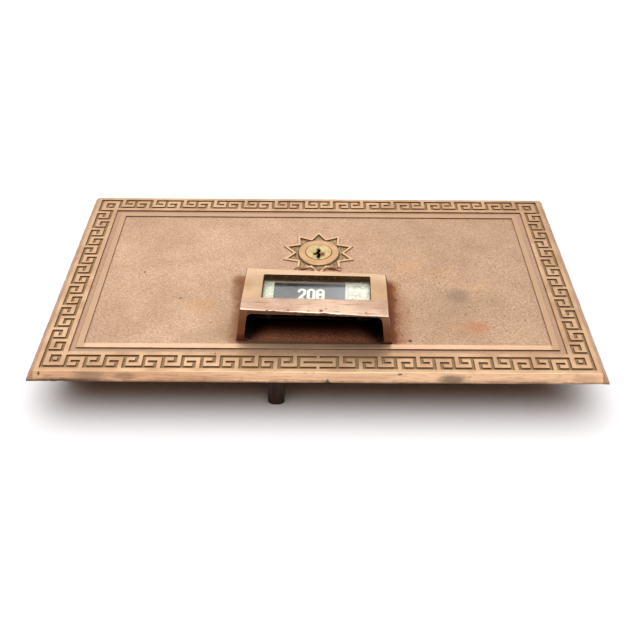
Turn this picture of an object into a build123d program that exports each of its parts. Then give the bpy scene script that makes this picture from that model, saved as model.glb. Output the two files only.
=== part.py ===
from build123d import *
import math
import os

os.makedirs("parts", exist_ok=True)

# A post office box door, lying face up as when it is taken out of its frame.
# X runs to the door's right, Y to its top edge and Z out of its face.
# The origin is under the door's centre, on the surface that its rear lugs stand on.
# All sizes are in millimetres.

# ---------------------------------------------------------------- driving sizes

# door plate, a casting with a bevelled edge
door_width = 276.0
door_height = 159.0
rear_depth = 22.0           # from the plate's back down to the ends of its lugs
plate_thickness = 4.0
bevel = 3.4                 # across the face, all round
edge_thickness = 0.6        # upright edge left under the bevel
edge_land = 2.2             # flat strip between the bevel and the key border

# key border, cut as narrow channels into the flat face
channel_width = 1.5
channel_depth = 0.85
border_width = 7.45         # outer to inner channel, centre to centre
corner_size = 11.3          # square block at each corner
keys_long = 6               # hook pairs on each half of a long side
keys_short = 7              # hook pairs along a short side
hook_share = 0.38           # hook's leg, as a share of one step
reach_share = 0.69          # hook's end, as a share of one step
motif_half = 6.2            # bar in the middle of the lower border
motif_gap = 1.5
corner_ring = 1.8           # half size of the small square in a corner

# frames round the sunk panel
inner_land = 2.4
inner_channel = 2.95
frame_width = 3.25
panel_depth = 0.7

# star round the lock
star_points = 10
star_radius = 20.6
star_notch = 14.3
star_line = 1.3
star_floor_depth = 1.0

# rear of the plate
rib_inset = 7.0
rib_width = 3.0
rib_height = 5.0
pad_height = 2.0
pad_margin = 1.0
lug_radius = 6.5
lug_length = 9.0
lug_inset = 14.0            # hinge axis from the door's left edge
lug_spread = 104.0          # between the two hinge lugs
hinge_pin = 5.0
bush_wall = 1.0
bush_flange = 1.0
sill_x = -20.5
sill_width = 8.2
sill_length = 5.0
sill_inset = 7.0
sill_round = 3.0

# pull hood with the number window
hood_x = -1.4
hood_margin = 1.85          # from the panel's lower edge
hood_skew = 1.5             # degrees, clockwise on the face
hood_length = 52.0
hood_base = 76.6
hood_top = 70.8
hood_height = 20.8
hood_wall = 3.65
hood_back_run = 20.3        # how far the sloped rear wall runs along the face
hood_lip_run = 8.0          # bevelled finger edge
hood_lip_drop = 1.35
hood_corner = 3.0
window_width = 53.0
window_height = 18.6
window_x = 0.6
window_y = -8.0
window_round = 0.8
hood_boss = 7.0
hood_boss_height = 10.0
hood_boss_x = 26.0
hood_boss_y = 12.0

# card stack under the window, from the top down
pane_thickness = 0.8
pane_margin = 2.4
strip_width = 35.6
strip_height = 20.0
strip_thickness = 0.25
strip_x = -2.9
strip_y = -8.65
numeral_thickness = 0.1
numeral_height = 8.9
numeral_width = 4.3
numeral_stroke = 1.5
numeral_pitch = 4.6
numeral_x = -2.0
numeral_y = -9.0
numeral_roundness = 0.48    # corner radius, as a share of the width
backing_thickness = 0.9
keeper_thickness = 0.7      # sheet brass plate under the card
keeper_screw_x = 22.0
keeper_screw_y = -22.8
keeper_boss = 4.4
keeper_round = 1.5

# cylinder lock
lock_margin = 36.15         # lock's axis, from the panel's upper edge
nose_diameter = 23.2
nose_rise = 0.4             # above the flat face
nose_edge = 0.5
barrel_diameter = 20.0
barrel_depth = 13.6         # behind the plate's back
lock_flange_width = 46.0
lock_flange_height = 27.0
lock_flange_thickness = 2.4
lock_flange_round = 4.0
lock_screw_x = 17.5
plug_diameter = 12.7
plug_head_rim = 0.95        # head's reach beyond the plug
plug_head_length = 3.0
plug_rise = 0.3
plug_edge = 0.25
tail_square = 4.6
keyway_width = 1.4
keyway_line = [(-0.1, 2.0), (0.5, 0.6), (-0.7, -1.0), (0.6, -3.0), (-0.1, -4.2), (-0.1, -5.6)]
keyway_wing_width = 1.0
keyway_wing = [(-0.6, -1.2), (-2.2, -2.9)]
keyway_floor = 1.0          # metal left behind the keyway
pin_count = 5
pin_diameter = 1.7
pin_pitch = 2.2
first_pin = 1.5             # rearmost pin, from the barrel's rear end
pin_seat = 1.4              # bottom of the plug's pin holes, above its axis
shear_gap = 0.35            # the pins stand clear of the shear line, as with the right key in
pin_lifts = [1.2, 0.5, 1.7, 0.8, 1.5]   # gap that the key fills under each pin
driver_length = 3.0
bible_width = 8.0
bible_reach = 17.0          # from the lock's axis to the top of the pin housing
cover_thickness = 1.0
cover_width = 3.0

# cam and sliding bolt
turn = 90.0                 # degrees that the plug turns
crank_radius = 10.0
crank_pin_diameter = 3.0
cam_thickness = 2.6
cam_hub = 7.0
cam_end = 3.6
bolt_width = 10.4
bolt_thickness = 3.0
bolt_tip_inset = 3.0        # thrown bolt's end, from the door's right edge
bolt_nose = 1.6
slot_play = 0.4
guide_reach = 45.0          # inner guide, from the lock's axis
guide_inset = 25.5          # outer guide, from the door's right edge
guide_length = 9.0
guide_foot = 34.0
guide_foot_thickness = 3.0
guide_body = 17.6
guide_screw_y = 12.6
guide_edge = 1.0

# screws
screw_diameter = 3.0
screw_head = 5.6
screw_head_height = 2.0
cam_screw_diameter = 2.5
cam_screw_head = 6.0        # wider than the tail's flats, so that it holds the cam on
small_screw = 2.0
small_head = 3.6
small_head_height = 1.2
hole_floor = 1.6            # metal left over a blind hole
tip_room = 0.3              # between a screw's end and the bottom of its hole

# clearances
running = 0.05              # radial, between turning and sliding pieces
snug = 0.02                 # radial, between pieces that stay put
drop_in = 0.1               # loose pieces in their seats
cam_gap = 0.2

# ---------------------------------------------------------------- worked-out places

half_width = door_width / 2
half_height = door_height / 2
back_z = rear_depth
face_z = back_z + plate_thickness
panel_z = face_z - panel_depth
seat_z = back_z - pad_height

line_x = half_width - bevel - edge_land - channel_width / 2
line_y = half_height - bevel - edge_land - channel_width / 2
step_x = (line_x - corner_size) / (2 * keys_long + 1)
step_y = (line_y - corner_size) / keys_short

inner_x = line_x - border_width - channel_width / 2 - inner_land
inner_y = line_y - border_width - channel_width / 2 - inner_land
panel_x = inner_x - inner_channel - frame_width
panel_y = inner_y - inner_channel - frame_width

hood_y = -panel_y + hood_margin + hood_length / 2
lock_y = panel_y - lock_margin
lug_x = -half_width + lug_inset
sill_y = -half_height + sill_inset + sill_length / 2
bush_radius = hinge_pin / 2 + bush_wall

skew = math.radians(hood_skew)
hood_plane = Plane(
    origin=(hood_x, hood_y, panel_z),
    x_dir=(math.cos(skew), -math.sin(skew), 0),
    z_dir=(0, 0, 1),
)
hood_side = Plane(hood_plane.origin, x_dir=hood_plane.y_dir, z_dir=hood_plane.x_dir)
hood_end = Plane(hood_plane.origin, x_dir=hood_plane.x_dir, z_dir=-hood_plane.y_dir)
near_end = -hood_length / 2
far_end = hood_length / 2
ceiling = hood_height - hood_wall
lean = (hood_base - hood_top) / 2 / hood_height
back_slope = hood_back_run / hood_height
back_shift = hood_wall * math.hypot(1, back_slope)

pane_top = ceiling - running
strip_top = pane_top - pane_thickness - numeral_thickness - running
backing_top = strip_top - strip_thickness
keeper_top = backing_top - backing_thickness
keeper_bottom = keeper_top - keeper_thickness
stack_far = far_end - back_shift - back_slope * ceiling - drop_in
stack_near = window_y - window_height / 2 - pane_margin
stack_depth = stack_far - stack_near
stack_y = (stack_far + stack_near) / 2
stack_width = window_width + 2 * abs(window_x) + pane_margin

barrel_z = back_z - barrel_depth
nose_z = face_z + nose_rise
plug_radius = plug_diameter / 2
head_radius = plug_radius + plug_head_rim
pin_heights = [barrel_z + first_pin + i * pin_pitch for i in range(pin_count)]

cam_top = barrel_z - cam_gap
cam_bottom = cam_top - cam_thickness
bolt_top = cam_bottom - cam_gap
bolt_bottom = bolt_top - bolt_thickness
half_turn = math.radians(turn / 2)
crank_x = crank_radius * math.sin(half_turn)
crank_low = crank_radius * math.cos(half_turn)
slot_width = crank_pin_diameter + 2 * slot_play
slot_length = crank_radius - crank_low + slot_width
slot_y = lock_y + (crank_radius + crank_low) / 2
bolt_y = slot_y
bolt_left = crank_x - slot_width / 2 - cam_end
bolt_right = half_width - bolt_tip_inset
guide_positions = [guide_reach, half_width - guide_inset]

print("bolt travel", round(2 * crank_x, 3), "mm for", turn, "degrees, metres per radian",
      round(2 * crank_x / math.radians(turn) / 1000, 6))


def spot(x, y):
    """Place on the face plane of a point given in the hood's own directions."""
    point = hood_plane.from_local_coords(Vector(x, y, 0))
    return (point.X, point.Y)


# ---------------------------------------------------------------- key border

def lower_border(side):
    """Centre lines of the channels in one half of the lower border."""
    outer, inner, middle = -line_y, -line_y + border_width, -line_y + border_width / 2
    runs = []
    for k in range(2 * keys_long + 1):
        runs.append((side * step_x * (k + 1), outer, side * step_x * (k + 1), inner))
    for k in range(2 * keys_long):
        start = step_x * (k + 1)
        leg = side * (start + step_x * hook_share)
        tip = side * (start + step_x * reach_share)
        edge = inner if k % 2 == 0 else outer
        end = side * step_x * min(k + 3, 2 * keys_long + 1)
        runs.append((leg, edge, leg, middle))
        runs.append((leg, middle, tip, middle))
        runs.append((leg, edge, end, edge))
    runs.append((side * motif_gap, outer, side * 2 * step_x, outer))
    runs.append((side * motif_gap, inner, side * step_x, inner))
    return runs


def upper_border(side):
    """Centre lines of the channels in one half of the upper border."""
    outer, inner, middle = line_y, line_y - border_width, line_y - border_width / 2
    runs = []
    for k in range(2 * keys_long + 2):
        runs.append((side * step_x * k, outer, side * step_x * k, inner))
    leg = side * step_x * (1 - hook_share)
    tip = side * step_x * (1 - reach_share)
    runs.append((leg, outer, leg, middle))
    runs.append((leg, middle, tip, middle))
    runs.append((0, outer, leg, outer))
    runs.append((0, inner, side * step_x, inner))
    for n in range(keys_long):
        start = step_x * (1 + 2 * n)
        end = start + 2 * step_x
        low_leg = side * (start + step_x * hook_share)
        low_tip = side * (start + step_x * reach_share)
        high_leg = side * (end - step_x * hook_share)
        high_tip = side * (end - step_x * reach_share)
        runs.append((low_leg, inner, low_leg, middle))
        runs.append((low_leg, middle, low_tip, middle))
        runs.append((high_leg, outer, high_leg, middle))
        runs.append((high_leg, middle, high_tip, middle))
        runs.append((low_leg, inner, side * end, inner))
        runs.append((side * start, outer, high_leg, outer))
    return runs


def side_border(side):
    """Centre lines of the channels in the left (-1) or right (1) border."""
    outer, inner = side * line_x, side * (line_x - border_width)
    middle = (outer + inner) / 2
    top = keys_short * step_y
    runs = []
    for k in range(2 * keys_short + 1):
        runs.append((outer, top - k * step_y, inner, top - k * step_y))
    for k in range(2 * keys_short):
        leg = top - (k + hook_share) * step_y
        tip = top - (k + reach_share) * step_y
        edge = outer if k % 2 == 0 else inner
        end = top - min(k + 2, 2 * keys_short) * step_y
        runs.append((edge, leg, middle, leg))
        runs.append((middle, leg, middle, tip))
        runs.append((edge, leg, edge, end))
    runs.append((inner, top, inner, top - step_y))
    return runs


def corner_block(across, up):
    """Centre lines of the channels that frame one corner, with its small ring."""
    outer_x, outer_y = across * line_x, up * line_y
    inner_corner_x, inner_corner_y = outer_x - across * corner_size, outer_y - up * corner_size
    mid_x, mid_y = outer_x - across * corner_size / 2, outer_y - up * corner_size / 2
    runs = [
        (outer_x, outer_y, inner_corner_x, outer_y),
        (outer_x, outer_y, outer_x, inner_corner_y),
        (inner_corner_x, outer_y, inner_corner_x, outer_y - up * border_width),
        (outer_x, inner_corner_y, outer_x - across * border_width, inner_corner_y),
    ]
    for s in (-1, 1):
        ring_x, ring_y = mid_x + s * corner_ring, mid_y + s * corner_ring
        runs.append((mid_x - corner_ring, ring_y, mid_x + corner_ring, ring_y))
        runs.append((ring_x, mid_y - corner_ring, ring_x, mid_y + corner_ring))
    return runs


border_runs = [(-motif_half, border_width / 2 - line_y, motif_half, border_width / 2 - line_y)]
for hand in (-1, 1):
    border_runs += lower_border(hand) + upper_border(hand) + side_border(hand)
    border_runs += corner_block(hand, -1) + corner_block(hand, 1)

# channels of one size are cut together
channel_groups = {}
for x0, y0, x1, y1 in border_runs:
    size = (round(abs(x1 - x0) + channel_width, 4), round(abs(y1 - y0) + channel_width, 4))
    centre = (round((x0 + x1) / 2, 4), round((y0 + y1) / 2, 4))
    channel_groups.setdefault(size, set()).add(centre)

# star outline, one point straight up
star_corners = []
for i in range(2 * star_points):
    radius = star_radius if i % 2 == 0 else star_notch
    angle = math.radians(90 + i * 180 / star_points)
    star_corners.append((radius * math.cos(angle), lock_y + radius * math.sin(angle)))

hood_screw_spots = [spot(side * hood_boss_x, hood_boss_y) for side in (-1, 1)]
lock_screw_spots = [(side * lock_screw_x, lock_y) for side in (-1, 1)]
guide_screw_spots = [(x, bolt_y + side * guide_screw_y) for x in guide_positions for side in (-1, 1)]
plate_hole_depth = pad_height + plate_thickness - hole_floor
boss_hole_depth = hood_boss_height - hole_floor
keeper_hole_depth = ceiling - keeper_top + hood_wall / 3

# ---------------------------------------------------------------- door plate

with BuildPart() as door_plate:
    with BuildSketch(Plane.XY.offset(back_z)):
        Rectangle(door_width, door_height)
    extrude(amount=edge_thickness)
    with BuildSketch(Plane.XY.offset(back_z + edge_thickness)):
        Rectangle(door_width, door_height)
    bevel_drop = plate_thickness - edge_thickness
    extrude(amount=bevel_drop, taper=math.degrees(math.atan(bevel / bevel_drop)))

    # rib that drops into the frame's opening, and the pads behind the lock and guides
    with BuildSketch(Plane.XY.offset(back_z)):
        Rectangle(door_width - 2 * rib_inset, door_height - 2 * rib_inset)
        Rectangle(
            door_width - 2 * (rib_inset + rib_width),
            door_height - 2 * (rib_inset + rib_width),
            mode=Mode.SUBTRACT,
        )
    extrude(amount=-rib_height)
    with BuildSketch(Plane.XY.offset(back_z)):
        with Locations((0, lock_y)):
            RectangleRounded(
                lock_flange_width + 2 * pad_margin,
                lock_flange_height + 2 * pad_margin,
                lock_flange_round + pad_margin,
            )
        for x in guide_positions:
            with Locations((x, bolt_y)):
                Rectangle(guide_length + 2 * pad_margin, guide_foot + 2 * pad_margin)
    extrude(amount=-pad_height)

    # hinge lugs on the left, bored along Y for the bushes
    for side in (-1, 1):
        lug_plane = Plane((lug_x, side * lug_spread / 2, lug_radius), (1, 0, 0), (0, -1, 0))
        with BuildSketch(lug_plane):
            Circle(lug_radius)
            with Locations((0, (back_z - lug_radius) / 2)):
                Rectangle(2 * lug_radius, back_z - lug_radius)
        extrude(amount=lug_length / 2, both=True)
        with BuildSketch(lug_plane):
            Circle(bush_radius + snug)
        extrude(amount=lug_length, both=True, mode=Mode.SUBTRACT)

    # sill stop, a round-ended lug behind the lower edge
    with BuildSketch(Plane((sill_x, sill_y, back_z / 2), (1, 0, 0), (0, -1, 0))) as sill_outline:
        Rectangle(sill_width, back_z)
        fillet(sill_outline.vertices().group_by(Axis.Z)[0], sill_round)
    extrude(amount=sill_length / 2, both=True)

    # holes for the lock and its screws
    with BuildSketch(Plane.XY.offset(seat_z)):
        with Locations((0, lock_y)):
            Circle(nose_diameter / 2 + running)
    extrude(amount=pad_height + plate_thickness, mode=Mode.SUBTRACT)
    with BuildSketch(Plane.XY.offset(seat_z)):
        with Locations(*lock_screw_spots, *guide_screw_spots):
            Circle(screw_diameter / 2 + running)
    extrude(amount=plate_hole_depth, mode=Mode.SUBTRACT)
    with BuildSketch(Plane.XY.offset(back_z)):
        with Locations(*hood_screw_spots):
            Circle(screw_diameter / 2 + drop_in)
    extrude(amount=plate_thickness, mode=Mode.SUBTRACT)

    # inner frame, sunk panel with the star's outline left standing, and the key border
    with BuildSketch(Plane.XY.offset(face_z)):
        Rectangle(2 * inner_x, 2 * inner_y)
        Rectangle(2 * (inner_x - inner_channel), 2 * (inner_y - inner_channel), mode=Mode.SUBTRACT)
    extrude(amount=-channel_depth, mode=Mode.SUBTRACT)

    with BuildSketch(Plane.XY.offset(face_z)):
        Rectangle(2 * panel_x, 2 * panel_y)
        with BuildLine():
            Polyline(*star_corners, close=True)
        make_face(mode=Mode.SUBTRACT)
    extrude(amount=-panel_depth, mode=Mode.SUBTRACT)
    with BuildSketch(Plane.XY.offset(face_z)):
        with BuildLine():
            Polyline(*star_corners, close=True)
        make_face()
        offset(amount=-star_line, kind=Kind.INTERSECTION)
    extrude(amount=-star_floor_depth, mode=Mode.SUBTRACT)
    with BuildSketch(Plane.XY.offset(face_z)):
        for size, centres in channel_groups.items():
            with Locations(*sorted(centres)):
                Rectangle(*size)
    extrude(amount=-channel_depth, mode=Mode.SUBTRACT)

# ---------------------------------------------------------------- pull hood

# hollow under the hood, open towards the door's lower edge
with BuildPart() as finger_space:
    inner_base = hood_base / 2 - hood_wall
    inner_top = inner_base - lean * ceiling
    with BuildSketch(hood_end) as hollow_section:
        with BuildLine():
            Polyline(
                (-inner_base, 0),
                (inner_base, 0),
                (inner_top, ceiling),
                (-inner_top, ceiling),
                close=True,
            )
        make_face()
        fillet(hollow_section.vertices().group_by(Axis.Z)[-1], hood_corner)
    extrude(amount=hood_length, both=True)
    with BuildSketch(hood_side):
        with BuildLine():
            Polyline(
                (near_end - 1, 0),
                (far_end - back_shift, 0),
                (far_end - back_shift - back_slope * ceiling, ceiling),
                (near_end - 1, ceiling),
                close=True,
            )
        make_face()
    extrude(amount=hood_base, both=True, mode=Mode.INTERSECT)

with BuildPart() as pull_hood:
    with BuildSketch(hood_end) as hood_section:
        with BuildLine():
            Polyline(
                (-hood_base / 2, 0),
                (hood_base / 2, 0),
                (hood_top / 2, hood_height),
                (-hood_top / 2, hood_height),
                close=True,
            )
        make_face()
    extrude(amount=hood_length, both=True)
    with BuildSketch(hood_side):
        with BuildLine():
            Polyline(
                (near_end, 0),
                (far_end, 0),
                (far_end - hood_back_run, hood_height),
                (near_end + hood_lip_run, hood_height),
                (near_end, hood_height - hood_lip_drop),
                close=True,
            )
        make_face()
    extrude(amount=hood_base, both=True, mode=Mode.INTERSECT)
    add(finger_space.part, mode=Mode.SUBTRACT)
    with BuildSketch(hood_plane.offset(hood_height)):
        with Locations((window_x, window_y)):
            RectangleRounded(window_width, window_height, window_round)
    extrude(amount=-2 * hood_wall, mode=Mode.SUBTRACT)

    # bosses for the two screws from behind the plate and for the keeper's screws
    with BuildSketch(hood_plane):
        with Locations((-hood_boss_x, hood_boss_y), (hood_boss_x, hood_boss_y)):
            Circle(hood_boss / 2)
    extrude(amount=hood_boss_height)
    with BuildSketch(hood_plane):
        with Locations((-hood_boss_x, hood_boss_y), (hood_boss_x, hood_boss_y)):
            Circle(screw_diameter / 2 + running)
    extrude(amount=boss_hole_depth, mode=Mode.SUBTRACT)
    with BuildSketch(hood_plane.offset(keeper_top)):
        with Locations((-keeper_screw_x, keeper_screw_y), (keeper_screw_x, keeper_screw_y)):
            Circle(keeper_boss / 2)
    extrude(amount=ceiling - keeper_top + hood_wall / 4)
    with BuildSketch(hood_plane.offset(keeper_top)):
        with Locations((-keeper_screw_x, keeper_screw_y), (keeper_screw_x, keeper_screw_y)):
            Circle(small_screw / 2 + running)
    extrude(amount=keeper_hole_depth, mode=Mode.SUBTRACT)

# ---------------------------------------------------------------- card stack

with BuildPart() as window_pane:
    with BuildSketch(hood_plane.offset(pane_top)):
        with Locations((0, stack_y)):
            Rectangle(stack_width, stack_depth)
    extrude(amount=-pane_thickness)

with BuildPart() as number_strip:
    with BuildSketch(hood_plane.offset(strip_top)):
        with Locations((strip_x, strip_y)):
            Rectangle(strip_width, strip_height)
    extrude(amount=-strip_thickness)

hollow_width = numeral_width - 2 * numeral_stroke
eye_height = (numeral_height - 3 * numeral_stroke) / 2
eye_y = (eye_height + numeral_stroke) / 2
bow_radius = (numeral_width - numeral_stroke) / 2
bow_y = numeral_height / 2 - numeral_stroke / 2 - bow_radius
foot_y = (numeral_stroke - numeral_height) / 2

with BuildPart() as numerals:
    # 2
    with BuildSketch(hood_plane.offset(strip_top)):
        with BuildLine(Location((numeral_x - numeral_pitch, numeral_y))):
            bow = CenterArc((0, bow_y), bow_radius, 0, 180)
            Line((-bow_radius, bow_y), (-bow_radius, bow_y - numeral_stroke / 2))
            Line((bow_radius, bow_y), (bow_radius, bow_y - numeral_stroke))
            Line((bow_radius, bow_y - numeral_stroke), (-bow_radius, foot_y))
            Line((-bow_radius, foot_y), (bow_radius, foot_y))
        trace(line_width=numeral_stroke)
    extrude(amount=numeral_thickness)
    # 0
    with BuildSketch(hood_plane.offset(strip_top)):
        with Locations((numeral_x, numeral_y)):
            RectangleRounded(numeral_width, numeral_height, numeral_width * numeral_roundness)
            RectangleRounded(
                hollow_width,
                numeral_height - 2 * numeral_stroke,
                hollow_width * numeral_roundness,
                mode=Mode.SUBTRACT,
            )
    extrude(amount=numeral_thickness)
    # 8
    with BuildSketch(hood_plane.offset(strip_top)):
        with Locations((numeral_x + numeral_pitch, numeral_y)):
            RectangleRounded(numeral_width, numeral_height, numeral_width * numeral_roundness)
            with Locations((0, eye_y), (0, -eye_y)):
                RectangleRounded(
                    hollow_width, eye_height, hollow_width * numeral_roundness, mode=Mode.SUBTRACT
                )
    extrude(amount=numeral_thickness)

with BuildPart() as card_backing:
    with BuildSketch(hood_plane.offset(backing_top)):
        with Locations((0, stack_y)):
            Rectangle(stack_width, stack_depth)
    extrude(amount=-backing_thickness)

with BuildPart() as card_keeper:
    keeper_near = keeper_screw_y - keeper_boss / 2
    with BuildSketch(hood_plane.offset(keeper_top)) as keeper_outline:
        with Locations((0, (keeper_near + stack_far) / 2)):
            Rectangle(stack_width, stack_far - keeper_near)
        fillet(keeper_outline.vertices(), keeper_round)
        with Locations((-keeper_screw_x, keeper_screw_y), (keeper_screw_x, keeper_screw_y)):
            Circle(small_screw / 2 + drop_in, mode=Mode.SUBTRACT)
    extrude(amount=-keeper_thickness)

# ---------------------------------------------------------------- screws

def slotted_screws(spots, base, head, head_height, diameter, length):
    """Screws that point up from a seat at height base, with their heads below it."""
    with BuildPart() as screws:
        with BuildSketch(Plane.XY.offset(base)):
            with Locations(*spots):
                Circle(head / 2)
        extrude(amount=-head_height)
        chamfer(screws.edges().group_by(Axis.Z)[0], head_height / 4)
        with BuildSketch(Plane.XY.offset(base)):
            with Locations(*spots):
                Circle(diameter / 2)
        extrude(amount=length)
        with BuildSketch(Plane.XY.offset(base - head_height)):
            with Locations(*spots):
                Rectangle(head, head / 6)
        extrude(amount=head_height * 0.45, mode=Mode.SUBTRACT)
    return screws


hood_screws = slotted_screws(
    hood_screw_spots,
    back_z,
    screw_head,
    screw_head_height,
    screw_diameter,
    plate_thickness - panel_depth + boss_hole_depth - tip_room,
)
lock_screws = slotted_screws(
    lock_screw_spots,
    seat_z - lock_flange_thickness,
    screw_head,
    screw_head_height,
    screw_diameter,
    lock_flange_thickness + plate_hole_depth - tip_room,
)
guide_screws = slotted_screws(
    guide_screw_spots,
    seat_z - guide_foot_thickness,
    screw_head,
    screw_head_height,
    screw_diameter,
    guide_foot_thickness + plate_hole_depth - tip_room,
)
keeper_screws = slotted_screws(
    [spot(side * keeper_screw_x, keeper_screw_y) for side in (-1, 1)],
    panel_z + keeper_bottom,
    small_head,
    small_head_height,
    small_screw,
    keeper_thickness + keeper_hole_depth - tip_room,
)

# ---------------------------------------------------------------- cylinder lock

with BuildPart() as lock_shell:
    with BuildSketch(Plane.XY.offset(seat_z)):
        with Locations((0, lock_y)):
            Circle(nose_diameter / 2)
    extrude(amount=nose_z - seat_z)
    chamfer(lock_shell.faces().sort_by(Axis.Z)[-1].edges(), nose_edge)
    with BuildSketch(Plane.XY.offset(seat_z)):
        with Locations((0, lock_y)):
            RectangleRounded(lock_flange_width, lock_flange_height, lock_flange_round)
    extrude(amount=-lock_flange_thickness)
    with BuildSketch(Plane.XY.offset(barrel_z)):
        with Locations((0, lock_y)):
            Circle(barrel_diameter / 2)
        with Locations((0, lock_y + bible_reach / 2)):
            Rectangle(bible_width, bible_reach)
    extrude(amount=seat_z - barrel_z)
    with BuildSketch(Plane.XY.offset(barrel_z)):
        with Locations((0, lock_y)):
            Circle(plug_radius + running)
    extrude(amount=nose_z - barrel_z, mode=Mode.SUBTRACT)
    with BuildSketch(Plane.XY.offset(nose_z)):
        with Locations((0, lock_y)):
            Circle(head_radius + running)
    extrude(amount=-plug_head_length, mode=Mode.SUBTRACT)
    with BuildSketch(Plane.XY.offset(seat_z)):
        with Locations(*lock_screw_spots):
            Circle(screw_diameter / 2 + drop_in)
    extrude(amount=-lock_flange_thickness, mode=Mode.SUBTRACT)
    # pin holes, closed at the top by the cover strip in its groove
    for height in pin_heights:
        with BuildSketch(Plane((0, lock_y, height), (1, 0, 0), (0, 1, 0))):
            Circle(pin_diameter / 2 + running)
        extrude(amount=bible_reach, mode=Mode.SUBTRACT)
    with BuildSketch(Plane.XY.offset(barrel_z)):
        with Locations((0, lock_y + bible_reach - cover_thickness / 2)):
            Rectangle(cover_width + 2 * snug, cover_thickness)
    extrude(amount=seat_z - barrel_z, mode=Mode.SUBTRACT)

with BuildPart() as spring_cover:
    with BuildSketch(Plane.XY.offset(barrel_z)):
        with Locations((0, lock_y + bible_reach - cover_thickness / 2)):
            Rectangle(cover_width, cover_thickness)
    extrude(amount=seat_z - barrel_z)

with BuildPart() as lock_plug:
    with BuildSketch(Plane.XY.offset(barrel_z)):
        with Locations((0, lock_y)):
            Circle(plug_radius)
    extrude(amount=nose_z - plug_head_length + running - barrel_z)
    with BuildSketch(Plane.XY.offset(nose_z - plug_head_length + running)):
        with Locations((0, lock_y)):
            Circle(head_radius)
    extrude(amount=plug_head_length + plug_rise - running)
    chamfer(lock_plug.faces().sort_by(Axis.Z)[-1].edges(), plug_edge)
    with BuildSketch(Plane.XY.offset(barrel_z)):
        with Locations((0, lock_y)):
            Rectangle(tail_square, tail_square)
    extrude(amount=cam_bottom - barrel_z)
    # keyway, a wavy slot from above the centre down to the plug's lower side
    with BuildSketch(Plane.XY.offset(nose_z + plug_rise)):
        with BuildLine(Location((0, lock_y))):
            Polyline(*keyway_line)
        trace(line_width=keyway_width)
        with BuildLine(Location((0, lock_y))):
            Line(*keyway_wing)
        trace(line_width=keyway_wing_width)
    extrude(amount=barrel_z + keyway_floor - nose_z - plug_rise, mode=Mode.SUBTRACT)
    for height in pin_heights:
        with BuildSketch(Plane((0, lock_y + pin_seat, height), (1, 0, 0), (0, 1, 0))):
            Circle(pin_diameter / 2 + running)
        extrude(amount=plug_radius, mode=Mode.SUBTRACT)
    # tapped hole in the tail
    with BuildSketch(Plane.XY.offset(cam_bottom)):
        with Locations((0, lock_y)):
            Circle(cam_screw_diameter / 2 + snug)
    extrude(amount=cam_thickness + tip_room, mode=Mode.SUBTRACT)

with BuildPart() as key_pins:
    for height, lift in zip(pin_heights, pin_lifts):
        with BuildSketch(Plane((0, lock_y + pin_seat + lift, height), (1, 0, 0), (0, 1, 0))):
            Circle(pin_diameter / 2)
        extrude(amount=plug_radius - shear_gap - pin_seat - lift)

driver_start = plug_radius + running + shear_gap / 2
with BuildPart() as driver_pins:
    for height in pin_heights:
        with BuildSketch(Plane((0, lock_y + driver_start, height), (1, 0, 0), (0, 1, 0))):
            Circle(pin_diameter / 2)
        extrude(amount=driver_length)

spring_start = driver_start + driver_length
with BuildPart() as pin_springs:
    for height in pin_heights:
        with BuildSketch(Plane((0, lock_y + spring_start, height), (1, 0, 0), (0, 1, 0))):
            Circle(pin_diameter / 2 - running)
            Circle(pin_diameter / 2 - 5 * running, mode=Mode.SUBTRACT)
        extrude(amount=bible_reach - cover_thickness - spring_start)

# ---------------------------------------------------------------- cam and bolt

crank_spot = (crank_x, lock_y + crank_low)

with BuildPart() as cam:
    with BuildSketch(Plane.XY.offset(cam_bottom)):
        with Locations((0, lock_y)):
            Circle(cam_hub)
        with Locations(crank_spot):
            Circle(cam_end)
        make_hull()
        with Locations((0, lock_y)):
            Rectangle(tail_square + 2 * snug, tail_square + 2 * snug, mode=Mode.SUBTRACT)
        with Locations(crank_spot):
            Circle(crank_pin_diameter / 2 + snug, mode=Mode.SUBTRACT)
    extrude(amount=cam_thickness)

cam_screw = slotted_screws(
    [(0, lock_y)],
    cam_bottom,
    cam_screw_head,
    screw_head_height,
    cam_screw_diameter,
    cam_thickness,
)

with BuildPart() as crank_pin:
    with BuildSketch(Plane.XY.offset(cam_top)):
        with Locations(crank_spot):
            Circle(crank_pin_diameter / 2)
    extrude(amount=bolt_bottom - cam_top)

with BuildPart() as bolt_bar:
    bolt_middle = (bolt_left + bolt_right) / 2
    with BuildSketch(Plane.XY.offset(bolt_bottom)):
        with Locations((bolt_middle, bolt_y)):
            Rectangle(bolt_right - bolt_left, bolt_width)
        with Locations((crank_x, slot_y)):
            Rectangle(slot_width, slot_length, mode=Mode.SUBTRACT)
    extrude(amount=bolt_thickness)
    nose_edges = bolt_bar.faces().sort_by(Axis.X)[-1].edges()
    chamfer(nose_edges.filter_by(Axis.Y).sort_by(Axis.Z)[-1], bolt_nose)


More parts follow.
